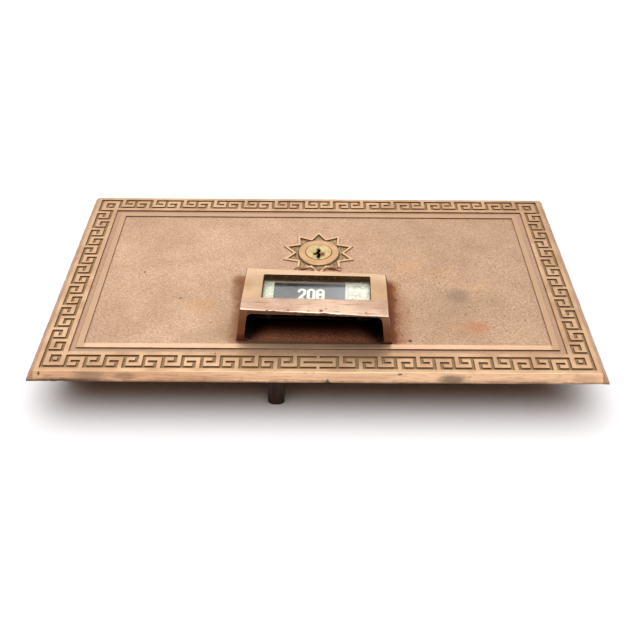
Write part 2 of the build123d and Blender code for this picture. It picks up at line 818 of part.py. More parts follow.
def bolt_guide(x):
    """Saddle that carries the bolt under the plate, screwed to its pad."""
    with BuildPart() as guide:
        with BuildSketch(Plane((x, bolt_y, 0), (0, 1, 0), (1, 0, 0))):
            with Locations((0, seat_z / 2)):
                Rectangle(guide_body, seat_z)
            with Locations((0, seat_z - guide_foot_thickness / 2)):
                Rectangle(guide_foot, guide_foot_thickness)
            with Locations((0, (bolt_top + bolt_bottom) / 2)):
                Rectangle(
                    bolt_width + 2 * running, bolt_thickness + 2 * running, mode=Mode.SUBTRACT
                )
        extrude(amount=guide_length / 2, both=True)
        foot_edges = guide.edges().filter_by(Axis.X).group_by(Axis.Z)[0]
        chamfer(foot_edges, guide_edge)
        with BuildSketch(Plane.XY.offset(seat_z)):
            with Locations((x, bolt_y - guide_screw_y), (x, bolt_y + guide_screw_y)):
                Circle(screw_diameter / 2 + drop_in)
        extrude(amount=-guide_foot_thickness, mode=Mode.SUBTRACT)
    return guide


bolt_guide_inner = bolt_guide(guide_positions[0])
bolt_guide_outer = bolt_guide(guide_positions[1])

# ---------------------------------------------------------------- hinge bushes

with BuildPart() as hinge_bushes:
    for side in (-1, 1):
        outer_face = side * (lug_spread + lug_length) / 2
        bush_plane = Plane((lug_x, outer_face, lug_radius), (1, 0, 0), (0, -side, 0))
        with BuildSketch(bush_plane):
            Circle(bush_radius)
            Circle(hinge_pin / 2, mode=Mode.SUBTRACT)
        extrude(amount=lug_length + bush_flange)
        with BuildSketch(bush_plane.offset(lug_length)):
            Circle(bush_radius + bush_wall)
            Circle(hinge_pin / 2, mode=Mode.SUBTRACT)
        extrude(amount=bush_flange)

# ---------------------------------------------------------------- files

pieces = {
    "door_plate": door_plate,
    "pull_hood": pull_hood,
    "hood_screws": hood_screws,
    "window_pane": window_pane,
    "number_strip": number_strip,
    "numerals": numerals,
    "card_backing": card_backing,
    "card_keeper": card_keeper,
    "keeper_screws": keeper_screws,
    "lock_shell": lock_shell,
    "spring_cover": spring_cover,
    "lock_plug": lock_plug,
    "key_pins": key_pins,
    "driver_pins": driver_pins,
    "pin_springs": pin_springs,
    "lock_screws": lock_screws,
    "cam": cam,
    "cam_screw": cam_screw,
    "crank_pin": crank_pin,
    "bolt_bar": bolt_bar,
    "bolt_guide_inner": bolt_guide_inner,
    "bolt_guide_outer": bolt_guide_outer,
    "guide_screws": guide_screws,
    "hinge_bushes": hinge_bushes,
}
for label, piece in pieces.items():
    piece.part.label = label
    export_step(piece.part, f"parts/{label}.step")
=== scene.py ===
import math

import bmesh
import bpy
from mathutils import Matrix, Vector, noise


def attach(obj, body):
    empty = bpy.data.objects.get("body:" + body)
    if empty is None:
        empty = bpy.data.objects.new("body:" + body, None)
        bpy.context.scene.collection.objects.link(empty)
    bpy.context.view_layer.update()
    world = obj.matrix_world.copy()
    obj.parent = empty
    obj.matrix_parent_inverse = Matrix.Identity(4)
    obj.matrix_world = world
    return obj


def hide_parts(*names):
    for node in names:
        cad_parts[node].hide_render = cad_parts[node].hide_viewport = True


# The looks of a cast bronze post office box door, lying face up.
# Everything is in metres in the CAD model's frame: X right, Y to the top edge, Z out of the face.

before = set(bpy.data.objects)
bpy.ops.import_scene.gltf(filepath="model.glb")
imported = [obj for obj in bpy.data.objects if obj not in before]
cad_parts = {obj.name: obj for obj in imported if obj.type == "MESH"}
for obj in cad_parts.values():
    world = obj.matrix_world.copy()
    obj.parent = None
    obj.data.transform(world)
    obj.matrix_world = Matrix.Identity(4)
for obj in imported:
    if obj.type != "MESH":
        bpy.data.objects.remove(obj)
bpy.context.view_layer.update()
mm = 0.001


# ---- small helpers for nodes

def tone(red, green, blue):
    # a colour as it looks on screen, turned into the linear one that shaders take
    linear = [c / 255 / 12.92 if c <= 10 else ((c / 255 + 0.055) / 1.055) ** 2.4 for c in (red, green, blue)]
    return (*linear, 1.0)


def setSocket(tree, socket, value):
    # a colour of three numbers is one as it looks on screen, from 0 to 255
    if isinstance(value, bpy.types.NodeSocket):
        tree.links.new(value, socket)
    elif socket.type == "RGBA" and len(value) == 3:
        socket.default_value = tone(*value)
    else:
        socket.default_value = value


def addNode(tree, kind, values=None, **settings):
    node = tree.nodes.new("ShaderNode" + kind)
    for name, setting in settings.items():
        setattr(node, name, setting)
    for socket, value in (values or {}).items():
        setSocket(tree, node.inputs[socket], value)
    return node


def calc(tree, operation, first, second=0.0, third=0.0):
    return addNode(tree, "Math", {0: first, 1: second, 2: third}, operation=operation).outputs[0]


def times(tree, first, *others):
    for other in others:
        first = calc(tree, "MULTIPLY", first, other)
    return first


def scaled(tree, value, factor, start):
    # start plus so much of the value
    return calc(tree, "MULTIPLY_ADD", value, factor, start)


def rise(tree, value, low, high):
    # 0 at low, 1 at high, smooth between; falls where low is the larger
    values = {"Value": value, "From Min": low, "From Max": high}
    return addNode(tree, "MapRange", values, interpolation_type="SMOOTHSTEP").outputs["Result"]


def riseMm(tree, value, low, high):
    return rise(tree, value, low * mm, high * mm)


def span(tree, value, low, high):
    # 0 to 1 in, low to high out
    return addNode(tree, "MapRange", {"Value": value, "To Min": low, "To Max": high}).outputs["Result"]


def within(tree, value, low, high, soft):
    # 1 between low and high, with soft ends, in millimetres
    return times(tree, riseMm(tree, value, low - soft, low + soft), riseMm(tree, value, high + soft, high - soft))


def inBox(tree, sideX, sideY, wide, high, soft=0.2):
    # 1 inside a rectangle round the middle, given by its half sizes in millimetres
    return times(tree, riseMm(tree, sideX, wide + soft, wide - soft), riseMm(tree, sideY, high + soft, high - soft))


def blend(tree, mask, under, over, share=1.0, mode="MIX"):
    # under where the mask is 0, over where it is 1; share weakens the mask
    if share != 1.0:
        mask = times(tree, mask, share)
    node = addNode(tree, "Mix", data_type="RGBA", blend_type=mode)
    for index, value in ((0, mask), (6, under), (7, over)):
        setSocket(tree, node.inputs[index], value)
    return node.outputs[2]


def vector(tree, operation, first, second=(0, 0, 0)):
    node = addNode(tree, "VectorMath", {0: first, 1: second}, operation=operation)
    return node.outputs["Value" if operation in ("LENGTH", "DISTANCE", "DOT_PRODUCT") else "Vector"]


def parts(tree, place):
    return addNode(tree, "SeparateXYZ", {0: place}).outputs


def fromAxis(tree, place, centre):
    # distance to an upright axis
    return vector(tree, "LENGTH", vector(tree, "MULTIPLY", vector(tree, "SUBTRACT", place, centre), (1, 1, 0)))


def noiseAt(tree, place, scale, detail, roughness=0.5):
    values = {"Vector": place, "Scale": scale, "Detail": detail, "Roughness": roughness}
    return addNode(tree, "TexNoise", values).outputs["Fac"]


def useGroup(tree, group, place, **values):
    node = tree.nodes.new("ShaderNodeGroup")
    node.node_tree = group
    for name, value in {"Place": place, **values}.items():
        setSocket(tree, node.inputs[name], value)
    return node.outputs


def newGroup(name, inputs, *outputs):
    # every group takes the place it is seen at, and gives plain values
    group = bpy.data.node_groups.new(name, "ShaderNodeTree")
    for label, value in {"Place": (0, 0, 0), **inputs}.items():
        kind = "NodeSocketVector" if isinstance(value, tuple) else "NodeSocketFloat"
        socket = group.interface.new_socket(name=label, in_out="INPUT", socket_type=kind)
        socket.default_value = value
    for label in outputs:
        group.interface.new_socket(name=label, in_out="OUTPUT", socket_type="NodeSocketFloat")
    return group, group.nodes.new("NodeGroupInput").outputs, group.nodes.new("NodeGroupOutput").inputs


# ---- effects that several finishes share

def buildCastGrain():
    # fine pebbled skin of sand-cast metal
    group, given, made = newGroup("castGrain", {"Scale": 1100.0}, "Height", "Specks")
    place, scale = given["Place"], given["Scale"]
    pebbles = addNode(group, "TexVoronoi", {"Vector": place, "Scale": scale}, feature="SMOOTH_F1")
    lumps = times(group, pebbles.outputs["Distance"], -0.8)
    setSocket(group, made["Height"], calc(group, "ADD", noiseAt(group, place, scale, 3.0, 0.6), lumps))
    dots = noiseAt(group, place, times(group, scale, 0.62), 2.0, 0.7)
    setSocket(group, made["Specks"], rise(group, dots, 0.55, 0.72))
    return group


def buildToneDrift():
    # slow, cloudy change of colour with a few denser patches
    group, given, made = newGroup("toneDrift", {"Scale": 30.0, "Seed": 0.0}, "Wide", "Patches")
    place = vector(group, "ADD", given["Place"], given["Seed"])
    wide = noiseAt(group, place, given["Scale"], 4.0, 0.55)
    setSocket(group, made["Wide"], rise(group, wide, 0.3, 0.7))
    patches = noiseAt(group, place, times(group, given["Scale"], 2.3), 5.0, 0.65)
    setSocket(group, made["Patches"], rise(group, patches, 0.56, 0.72))
    return group


def buildBrushMarks():
    # lines left by a file or belt, long in the direction where Stretch is small
    group, given, made = newGroup("brushMarks", {"Stretch": (1, 1, 1), "Scale": 40.0}, "Height", "Streaks")
    lines = noiseAt(group, vector(group, "MULTIPLY", given["Place"], given["Stretch"]), given["Scale"], 4.0, 0.7)
    setSocket(group, made["Height"], lines)
    setSocket(group, made["Streaks"], rise(group, lines, 0.45, 0.7))
    return group


def buildHollowDirt():
    # grime where the shape closes in on itself
    group, given, made = newGroup("hollowDirt", {"Reach": 0.002}, "Dirt")
    clearing = addNode(group, "AmbientOcclusion", {"Distance": given["Reach"]}, samples=6).outputs["AO"]
    uneven = scaled(group, noiseAt(group, given["Place"], 500.0, 3.0), 0.35, -0.17)
    closed = calc(group, "ADD", calc(group, "SUBTRACT", 1.0, clearing), uneven)
    setSocket(group, made["Dirt"], rise(group, closed, 0.12, 0.62))
    return group


def buildWornEdge():
    # bright rub on sharp edges, broken up by noise
    group, given, made = newGroup("wornEdge", {"Width": 0.0004}, "Worn")
    rounded = addNode(group, "Bevel", {"Radius": given["Width"]}, samples=4).outputs["Normal"]
    along = vector(group, "DOT_PRODUCT", rounded, addNode(group, "NewGeometry").outputs["Normal"])
    broken = rise(group, noiseAt(group, given["Place"], 260.0, 3.0), 0.3, 0.62)
    setSocket(group, made["Worn"], times(group, rise(group, along, 0.99, 0.88), broken))
    return group


def buildStain():
    # one soft patch with a torn outline
    inputs = {"Centre": (0, 0, 0), "Size": (1, 1, 1), "Ragged": 0.5}
    group, given, made = newGroup("stain", inputs, "Mask")
    shrunk = vector(group, "DIVIDE", vector(group, "SUBTRACT", given["Place"], given["Centre"]), given["Size"])
    torn = calc(group, "SUBTRACT", noiseAt(group, shrunk, 2.3, 5.0, 0.65), 0.5)
    away = calc(group, "ADD", vector(group, "LENGTH", shrunk), times(group, torn, given["Ragged"]))
    setSocket(group, made["Mask"], rise(group, away, 1.0, 0.35))
    return group


def buildTurnedLines():
    # fine rings left by the lathe round an upright axis
    group, given, made = newGroup("turnedLines", {"Centre": (0, 0, 0), "Scale": 1800.0}, "Height", "Streaks")
    away = fromAxis(group, given["Place"], given["Centre"])
    values = {"W": away, "Scale": given["Scale"], "Detail": 3.0, "Roughness": 0.7}
    rings = addNode(group, "TexNoise", values, noise_dimensions="1D").outputs["Fac"]
    setSocket(group, made["Height"], rings)
    setSocket(group, made["Streaks"], rise(group, rings, 0.45, 0.7))
    return group


def buildPinholes():
    # scattered casting pits
    group, given, made = newGroup("pinholes", {"Scale": 90.0, "Size": 0.05, "Share": 0.4}, "Pits")
    cells = addNode(group, "TexVoronoi", {"Vector": given["Place"], "Scale": given["Scale"]}).outputs
    pick = parts(group, cells["Color"])
    size = times(group, given["Size"], calc(group, "ADD", pick[1], 0.3))
    hole = rise(group, calc(group, "DIVIDE", cells["Distance"], size), 1.2, 0.6)
    setSocket(group, made["Pits"], times(group, hole, calc(group, "LESS_THAN", pick[0], given["Share"])))
    return group


castGrain = buildCastGrain()
toneDrift = buildToneDrift()
brushMarks = buildBrushMarks()
hollowDirt = buildHollowDirt()
wornEdge = buildWornEdge()
stain = buildStain()
turnedLines = buildTurnedLines()
pinholes = buildPinholes()
print("shared effects built")


def newFinish(name):
    # an empty finish: its tree, its shader and the piece's own coordinates
    material = bpy.data.materials.new(name)
    material.use_nodes = True
    tree = material.node_tree
    tree.nodes.clear()
    shader = addNode(tree, "BsdfPrincipled")
    addNode(tree, "OutputMaterial", {"Surface": shader.outputs[0]})
    return material, tree, shader, addNode(tree, "TexCoord").outputs["Object"]


def setFinish(tree, shader, colour, rough, metal, height, depth, strength=0.7):
    setSocket(tree, shader.inputs["Base Color"], colour)
    setSocket(tree, shader.inputs["Roughness"], rough)
    setSocket(tree, shader.inputs["Metallic"], metal)
    bump = addNode(tree, "Bump", {"Height": height, "Distance": depth, "Strength": strength})
    setSocket(tree, shader.inputs["Normal"], bump.outputs[0])


def addStains(tree, place, colour, stains):
    # each stain is (x, y, z, half width, half height, strength, tone), in millimetres
    for x, y, z, wide, high, strength, shade in stains:
        values = {"Centre": Vector((x, y, z)) * mm, "Size": Vector((wide, high, 6.0)) * mm, "Ragged": 0.9}
        colour = blend(tree, useGroup(tree, stain, place, **values)["Mask"], colour, shade, strength)
    return colour


# ---- door casting

doorLook = {
    "panel": (200, 169, 142), "panelPale": (212, 181, 153), "panelGrey": (176, 146, 120),
    "speck": (112, 84, 64), "grainTint": (0.79, 0.76, 0.73, 1.0),
    "land": (204, 170, 135), "landDull": (180, 144, 111),
    "frameLand": (212, 177, 146), "frameSide": (186, 153, 124),
    "starLand": (208, 174, 136),
    # the near slope's tones are painted lighter than the side slope's, more so on the right: painted light
    "bevel": (236, 189, 149), "bevelLitRight": (255, 214, 174), "sideBevel": (204, 166, 134),
    "bevelDull": (182, 138, 102), "bevelDullLitRight": (212, 168, 130), "bevelBrown": (150, 112, 80),
    "keyFloor": (150, 122, 86), "innerFloor": (178, 145, 118), "starFloor": (172, 148, 108),
    # upright walls: partly patina and partly painted shade
    "wall": (138, 102, 68),
    "grime": (66, 42, 27),
    # under the hood: red-brown at the mouth, and a painted shade for further in
    "underHood": (246, 174, 134), "underHoodDark": (208, 134, 96), "underHoodShade": (60, 34, 25),
    # beside the hood: darkening that is partly grime and partly painted shade, and rust on its right
    "hoodDirtAndShade": (118, 68, 44), "hoodRust": (146, 88, 52), "hoodDirtAndShadeLeft": (132, 88, 58),
    "apron": (128, 82, 56),
    "rear": (138, 102, 72), "rearDark": (104, 74, 51),
    # the stop: painted shade, near black, with rust runs
    "stop": (42, 27, 21), "stopRust": (88, 44, 28),
    "grainScale": 1200.0, "grainDepth": 0.13, "driftScale": 14.0, "patchScale": 65.0, "fileScale": 1500.0,
    # where one surface gives way to the next, in millimetres: half sizes, the star's middle, the stop's middle
    "frameHalf": (119.1, 60.6), "channelHalf": (121.0, 62.5), "starCentre": (0.0, 20.2, 26.0), "stopX": -20.5,
    "frameSideFrom": (113.5, 114.5), "frameFarFrom": (52.0, 56.0), "starEnds": (22.0, 21.0),
    "sideBevelFrom": (134.4, 134.7), "bevelFrom": (75.85, 76.15), "bevelLitRightFrom": (-80.0, -20.0),
    # and heights
    "starLevel": (25.07, 25.03), "cutLevel": (25.26, 25.2), "wallLevel": (24.9, 24.95),
    "faceLevel": (25.78, 25.93), "rimLevel": (23.3, 22.4), "rearLevel": (22.15, 21.95),
    # x, y, z, half width, half height, strength, tone
    "marks": [
        (-94.7, 2.0, 25.3, 0.9, 1.1, 0.85, (92, 66, 48)),
        (-97.5, 0.6, 25.3, 0.8, 0.9, 0.4, (120, 90, 68)),
        (-72.1, -20.3, 25.3, 1.2, 0.8, 0.8, (86, 60, 44)),
        (-75.5, -19.4, 25.3, 3.4, 0.6, 0.35, (120, 88, 66)),
        (40.6, -20.9, 25.3, 0.8, 0.8, 0.95, (46, 28, 20)),
        (45.4, -53.0, 25.3, 1.5, 1.2, 0.9, (52, 30, 20)),
        (42.4, -53.0, 25.3, 2.4, 2.4, 0.5, (168, 96, 48)),
        (73.8, -17.1, 25.3, 8.5, 7.5, 0.65, (134, 112, 97)),
        (69.0, -23.0, 25.3, 24.0, 16.0, 0.25, (158, 132, 110)),
        (90.0, -21.0, 25.3, 12.0, 8.0, 0.2, (166, 138, 114)),
        (80.5, -42.1, 25.3, 9.0, 6.0, 0.42, (184, 120, 80)),
        (74.0, -44.0, 25.3, 15.0, 7.0, 0.2, (180, 122, 88)),
        (62.0, -38.0, 25.3, 12.0, 10.0, 0.22, (158, 130, 104)),
        (-60.0, -26.0, 25.3, 12.0, 9.0, 0.32, (184, 140, 92)),
        # these two, against the hood's left flank, are partly grime and partly painted shade
        (-41.5, -4.5, 25.3, 7.0, 6.0, 0.75, (136, 88, 58)),
        (-43.0, -13.0, 25.3, 5.0, 12.0, 0.5, (132, 86, 58)),
        (-57.0, -50.0, 25.3, 18.0, 7.0, 0.26, (150, 128, 100)),
        (-45.0, 22.0, 25.3, 20.0, 8.0, 0.18, (178, 140, 116)),
        (43.5, -33.0, 25.3, 6.5, 26.0, 0.3, (156, 108, 76)),
        (-45.0, -44.0, 25.3, 7.0, 15.0, 0.35, (140, 112, 82)),
        (-10.0, 5.6, 25.3, 5.0, 2.2, 0.8, (104, 44, 26)),
        (9.0, 5.8, 25.3, 6.0, 2.2, 0.85, (96, 36, 20)),
        (0.0, 5.0, 25.3, 14.0, 1.6, 0.6, (110, 52, 32)),
        (49.5, 8.5, 25.3, 9.0, 7.0, 0.3, (202, 150, 100)),
        (66.0, 4.0, 25.3, 14.0, 5.0, 0.16, (206, 158, 108)),
        (-76.9, 8.0, 25.3, 0.8, 0.7, 0.7, (104, 76, 58)),
        (-60.5, 14.4, 25.3, 0.7, 0.6, 0.6, (110, 82, 62)),
        (-58.7, 15.5, 25.3, 0.7, 0.6, 0.7, (104, 76, 58)),
        (84.0, -8.0, 25.3, 14.0, 5.0, 0.2, (206, 164, 120)),
        (-107.7, -77.6, 24.3, 10.0, 2.6, 0.6, (128, 108, 84)),
        (-91.4, -77.8, 24.3, 7.0, 1.6, 0.5, (120, 96, 72)),
        (63.4, -78.4, 24.0, 9.0, 2.6, 0.75, (112, 92, 72)),
        (20.0, -77.8, 24.0, 26.0, 2.2, 0.18, (150, 104, 70)),
        (-131.8, -77.0, 24.8, 0.7, 0.8, 0.95, (40, 26, 18)),
        (4.5, -79.2, 23.6, 0.9, 1.0, 0.9, (38, 24, 18)),
        (38.8, -76.7, 24.8, 1.8, 0.5, 0.8, (58, 36, 26)),
        (-119.0, -79.2, 22.8, 24.0, 1.1, 0.85, (84, 56, 40)),
        (-60.0, -78.8, 23.0, 30.0, 1.3, 0.35, (150, 110, 80)),
        (96.0, -78.8, 23.0, 30.0, 1.2, 0.25, (136, 98, 70)),
        (-104.0, -77.6, 24.0, 34.0, 3.2, 0.18, (170, 128, 98)),
        (127.0, -78.0, 24.0, 9.0, 2.4, 0.3, (150, 116, 84)),
    ],
}


def paintDoor():
    look = doorLook
    material, tree, shader, place = newFinish("castBronze")
    x, y, z = parts(tree, place)
    normalZ = parts(tree, addNode(tree, "TexCoord").outputs["Normal"])[2]
    sideX = calc(tree, "ABSOLUTE", x)
    sideY = calc(tree, "ABSOLUTE", y)

    grain = useGroup(tree, castGrain, place, Scale=look["grainScale"])
    drift = useGroup(tree, toneDrift, place, Scale=look["driftScale"], Seed=3.0)["Wide"]
    small = useGroup(tree, toneDrift, place, Scale=look["patchScale"], Seed=7.0)
    brushed = useGroup(tree, brushMarks, place, Stretch=(0.08, 1.0, 1.0), Scale=look["fileScale"])
    pits = useGroup(tree, pinholes, place, Scale=95.0, Size=0.035, Share=0.3)["Pits"]
    dirt = useGroup(tree, hollowDirt, place, Reach=1.3 * mm)["Dirt"]
    torn = calc(tree, "SUBTRACT", noiseAt(tree, place, 210.0, 4.0, 0.7), 0.5)
    crumbs = noiseAt(tree, place, 900.0, 2.0)

    # sunk panel
    panel = blend(tree, drift, look["panel"], look["panelPale"])
    panel = blend(tree, small["Wide"], panel, look["panelGrey"], 0.22)
    panel = blend(tree, riseMm(tree, x, 10.0, 75.0), panel, look["panelGrey"], 0.38)
    coarser = times(tree, riseMm(tree, x, -60.0, 50.0), riseMm(tree, y, 50.0, -10.0))
    panel = blend(tree, grain["Specks"], panel, look["speck"], span(tree, coarser, 0.36, 0.6))
    betweenGrains = blend(tree, 1.0, panel, look["grainTint"], mode="MULTIPLY")
    panel = blend(tree, rise(tree, grain["Height"], 0.02, 0.38), betweenGrains, panel)

    # rust round the hood's foot, and a darkening right beside the hood that is partly grime and partly painted shade
    hoodX, hoodY = parts(tree, hoodPlace(tree, place))[:2]
    hoodSide = calc(tree, "ABSOLUTE", hoodX)
    out = scaled(tree, torn, 5.0 * mm, calc(tree, "SUBTRACT", hoodSide, hoodLook["foot"] / 2 * mm))
    alongHood = within(tree, hoodY, -26.5, 24.0, 3.5)
    onRight = times(tree, alongHood, riseMm(tree, hoodX, 0.0, 1.0))
    onLeft = calc(tree, "SUBTRACT", alongHood, onRight)
    rust = times(tree, riseMm(tree, out, 7.5, 2.5), span(tree, rise(tree, crumbs, 0.42, 0.58), 0.4, 1.0))
    panel = blend(tree, times(tree, rust, onRight), panel, look["hoodRust"])
    near = riseMm(tree, scaled(tree, crumbs, 4.0 * mm, out), 5.2, 3.4)
    panel = blend(tree, times(tree, near, onRight), panel, look["hoodDirtAndShade"], 0.9)
    near = riseMm(tree, out, 7.0, 1.0)
    panel = blend(tree, times(tree, near, onLeft), panel, look["hoodDirtAndShadeLeft"], 0.85)

    # finger space: red-brown and granular at its mouth; painted shade makes it nearly black further in and beside
    # the walls
    apron = times(tree, riseMm(tree, hoodY, -24.0, -26.5), riseMm(tree, hoodSide, 44.0, 36.0))
    panel = blend(tree, apron, panel, look["apron"], span(tree, crumbs, 0.45, 1.0))
    shadedInside = times(tree, riseMm(tree, hoodSide, 37.6, 36.6), within(tree, hoodY, -25.0, 25.0, 2.5))
    depth = scaled(tree, calc(tree, "SUBTRACT", crumbs, 0.5), 7.0 * mm, hoodY)
    depth = scaled(tree, riseMm(tree, hoodSide, 21.0, 35.0), 15.0 * mm, depth)
    mouth = blend(tree, rise(tree, crumbs, 0.4, 0.6), look["underHoodDark"], look["underHood"])
    floorTone = blend(tree, riseMm(tree, depth, -23.0, -7.0), mouth, look["underHoodShade"])
    panel = blend(tree, shadedInside, panel, floorTone, 0.9)

    # worn flat face: border and inner frame
    land = blend(tree, small["Wide"], look["land"], look["landDull"])
    inFrame = inBox(tree, sideX, sideY, *look["frameHalf"])
    land = blend(tree, inFrame, land, look["frameLand"])
    onSides = riseMm(tree, sideX, *look["frameSideFrom"])
    onSides = calc(tree, "MAXIMUM", onSides, riseMm(tree, y, *look["frameFarFrom"]))
    land = blend(tree, times(tree, onSides, inFrame), land, look["frameSide"])
    toStar = vector(tree, "DISTANCE", place, Vector(look["starCentre"]) * mm)
    land = blend(tree, riseMm(tree, toStar, *look["starEnds"]), land, look["starLand"])
    land = blend(tree, brushed["Streaks"], land, look["landDull"], 0.3)

    # floors of the cuts
    floor = blend(tree, inBox(tree, sideX, sideY, *look["channelHalf"]), look["keyFloor"], look["innerFloor"])
    floor = blend(tree, grain["Specks"], floor, look["speck"], 0.5)
    starFloor = blend(tree, rise(tree, grain["Height"], -0.1, 0.3), look["speck"], look["starFloor"])
    floor = blend(tree, riseMm(tree, z, *look["starLevel"]), floor, starFloor)
    deep = riseMm(tree, z, *look["cutLevel"])
    colour = blend(tree, deep, panel, floor)

    # upright walls in a darker tone, partly patina and partly painted shade, then everything at full height
    wall = times(tree, rise(tree, normalZ, 0.75, 0.35), riseMm(tree, z, *look["wallLevel"]))
    colour = blend(tree, wall, colour, look["wall"])
    top = riseMm(tree, z, *look["faceLevel"])
    colour = blend(tree, top, colour, land)

    # sloped edge: the near slope is painted lighter than the side slopes, and lighter still towards the right, as
    # painted light; its file marks and dull and brown patches are the metal's own
    atSide = riseMm(tree, sideX, *look["sideBevelFrom"])
    outside = calc(tree, "MAXIMUM", atSide, riseMm(tree, sideY, *look["bevelFrom"]))
    litToRight = riseMm(tree, x, *look["bevelLitRightFrom"])
    filed = blend(tree, litToRight, look["bevel"], look["bevelLitRight"])
    dulled = blend(tree, litToRight, look["bevelDull"], look["bevelDullLitRight"])
    slope = blend(tree, brushed["Streaks"], filed, dulled, 0.7)
    slope = blend(tree, drift, slope, look["bevelDull"], 0.12)
    slope = blend(tree, small["Patches"], slope, look["bevelBrown"], 0.4)
    sideSlope = blend(tree, small["Wide"], look["sideBevel"], look["bevelDull"])
    colour = blend(tree, outside, colour, blend(tree, atSide, slope, sideSlope))
    atRim = riseMm(tree, scaled(tree, torn, 1.6 * mm, z), *look["rimLevel"])
    colour = blend(tree, atRim, colour, look["grime"], 0.6)

    # grime, stains and pits of the face
    colour = blend(tree, dirt, colour, look["grime"], 0.48)
    colour = addStains(tree, place, colour, look["marks"])
    colour = blend(tree, pits, colour, look["grime"], 0.8)

    # raw casting behind, with the stop painted near black as painted shade, run through with rust
    behind = riseMm(tree, z, *look["rearLevel"])
    raw = blend(tree, small["Wide"], look["rear"], look["rearDark"])
    raw = blend(tree, rise(tree, grain["Height"], 0.3, 0.02), raw, look["grime"], 0.5)
    raw = blend(tree, dirt, raw, look["grime"], 0.5)
    runs = useGroup(tree, brushMarks, place, Stretch=(1.0, 1.0, 0.12), Scale=900.0)["Streaks"]
    fromStop = calc(tree, "ABSOLUTE", calc(tree, "ADD", x, -look["stopX"] * mm))
    onStop = times(tree, riseMm(tree, fromStop, 5.0, 4.4), riseMm(tree, y, -66.0, -67.2))
    raw = blend(tree, onStop, raw, blend(tree, runs, look["stop"], look["stopRust"], 0.7))
    colour = blend(tree, behind, colour, raw)

    smooth = times(tree, calc(tree, "MAXIMUM", top, outside), calc(tree, "SUBTRACT", 1.0, behind))
    rough = calc(tree, "SUBTRACT", 0.6, times(tree, smooth, 0.1))
    rough = scaled(tree, dirt, 0.15, scaled(tree, small["Wide"], 0.08, rough))
    dulled = calc(tree, "MAXIMUM", calc(tree, "MAXIMUM", wall, deep), outside)
    metal = scaled(tree, dirt, -0.3, calc(tree, "SUBTRACT", 0.84, times(tree, dulled, 0.32)))
    height = times(tree, grain["Height"], span(tree, smooth, 1.0, 0.16))
    height = scaled(tree, brushed["Height"], times(tree, smooth, 0.35), height)
    height = scaled(tree, pits, -2.5, scaled(tree, small["Wide"], 0.5, height))
    setFinish(tree, shader, colour, rough, metal, height, look["grainDepth"] * mm, 0.8)
    return material


# ---- pull hood

hoodLook = {
    "rail": (186, 157, 126), "railDull": (164, 132, 101), "railFar": (200, 170, 139),
    "lip": (178, 153, 132), "lipEdge": (236, 218, 200), "lipPink": (150, 120, 101),
    "side": (144, 100, 76), "back": (170, 136, 106), "backDull": (132, 98, 72),
    # painted shade: the near end, and the band over the finger space
    "end": (148, 106, 82), "gapShade": (112, 80, 58), "gapShadeRight": (44, 30, 23),
    # painted shade of the finger space: near black, and lighter low down towards the mouth
    "shadedInside": (24, 16, 12), "shadedInsideLow": (60, 38, 28),
    "windowWall": (98, 66, 38), "windowCrust": (150, 118, 80),
    "scratch": (118, 78, 56), "worn": (226, 200, 174),
    "grime": (70, 40, 24),
    # dark spots on the finger edge, in the hood's own directions, as in the door's marks
    "lipMarks": [
        (-22.6, -25.6, 19.6, 0.9, 0.5, 0.9, (62, 34, 26)),
        (-21.0, -25.2, 19.6, 2.4, 0.4, 0.5, (110, 70, 54)),
        (-12.4, -25.4, 19.6, 0.7, 0.5, 0.8, (80, 46, 34)),
        (3.4, -25.2, 19.6, 1.4, 1.0, 0.9, (58, 30, 22)),
        (5.6, -24.0, 19.6, 0.9, 0.5, 0.7, (110, 66, 48)),
        (2.0, -22.0, 19.6, 3.0, 0.5, 0.4, (146, 106, 86)),
        (24.8, -25.8, 19.6, 0.9, 0.5, 0.8, (70, 42, 32)),
        (11.0, -25.6, 19.6, 2.0, 0.4, 0.7, (120, 80, 62)),
    ],
    "originX": -1.4, "originY": -28.5, "baseZ": 25.3, "skew": 1.5, "height": 20.8, "length": 52.0,
    "foot": 76.6, "wall": 3.65, "lean": 0.139, "lipRun": 8.0, "window": (0.6, -8.0, 53.0, 18.6),
    "driftScale": 45.0, "fileScale": 1250.0, "grainScale": 1500.0, "bumpDepth": 0.09,
}

hoodShape = {
    "edgeRound": 0.35, "edgesFrom": 44.3, "windowRound": 0.25, "windowFrom": 42.3, "insideRound": 0.3,
    "waver": 0.14,
    "shift": -0.9, "turn": -0.046, "nearWidth": 1.005, "narrowing": 0.021, "sideStarts": 31.0,
    "lipThins": 0.9, "thinsMore": 0.8, "thinsOver": 3.2,
    # x, half width, depth
    "nicks": [
        (-21.3, 0.9, 0.4), (-10.9, 0.8, 0.35), (2.7, 1.4, 0.7),
        (4.2, 0.9, 0.4), (12.0, 1.2, 0.25), (-16.0, 1.0, 0.2),
    ],
}


def hoodPoint(across, up, above=0.0):
    # a point given in the hood's own directions, in millimetres
    angle = math.radians(-hoodLook["skew"])
    x = hoodLook["originX"] + across * math.cos(angle) - up * math.sin(angle)
    y = hoodLook["originY"] + across * math.sin(angle) + up * math.cos(angle)
    return Vector((x, y, hoodLook["baseZ"] + above)) * mm


def hoodPlace(tree, place):
    # the piece's coordinates in the hood's own directions
    centred = vector(tree, "SUBTRACT", place, hoodPoint(0, 0))
    turn = (0, 0, math.radians(hoodLook["skew"]))
    return addNode(tree, "Mapping", {"Vector": centred, "Rotation": turn}).outputs[0]


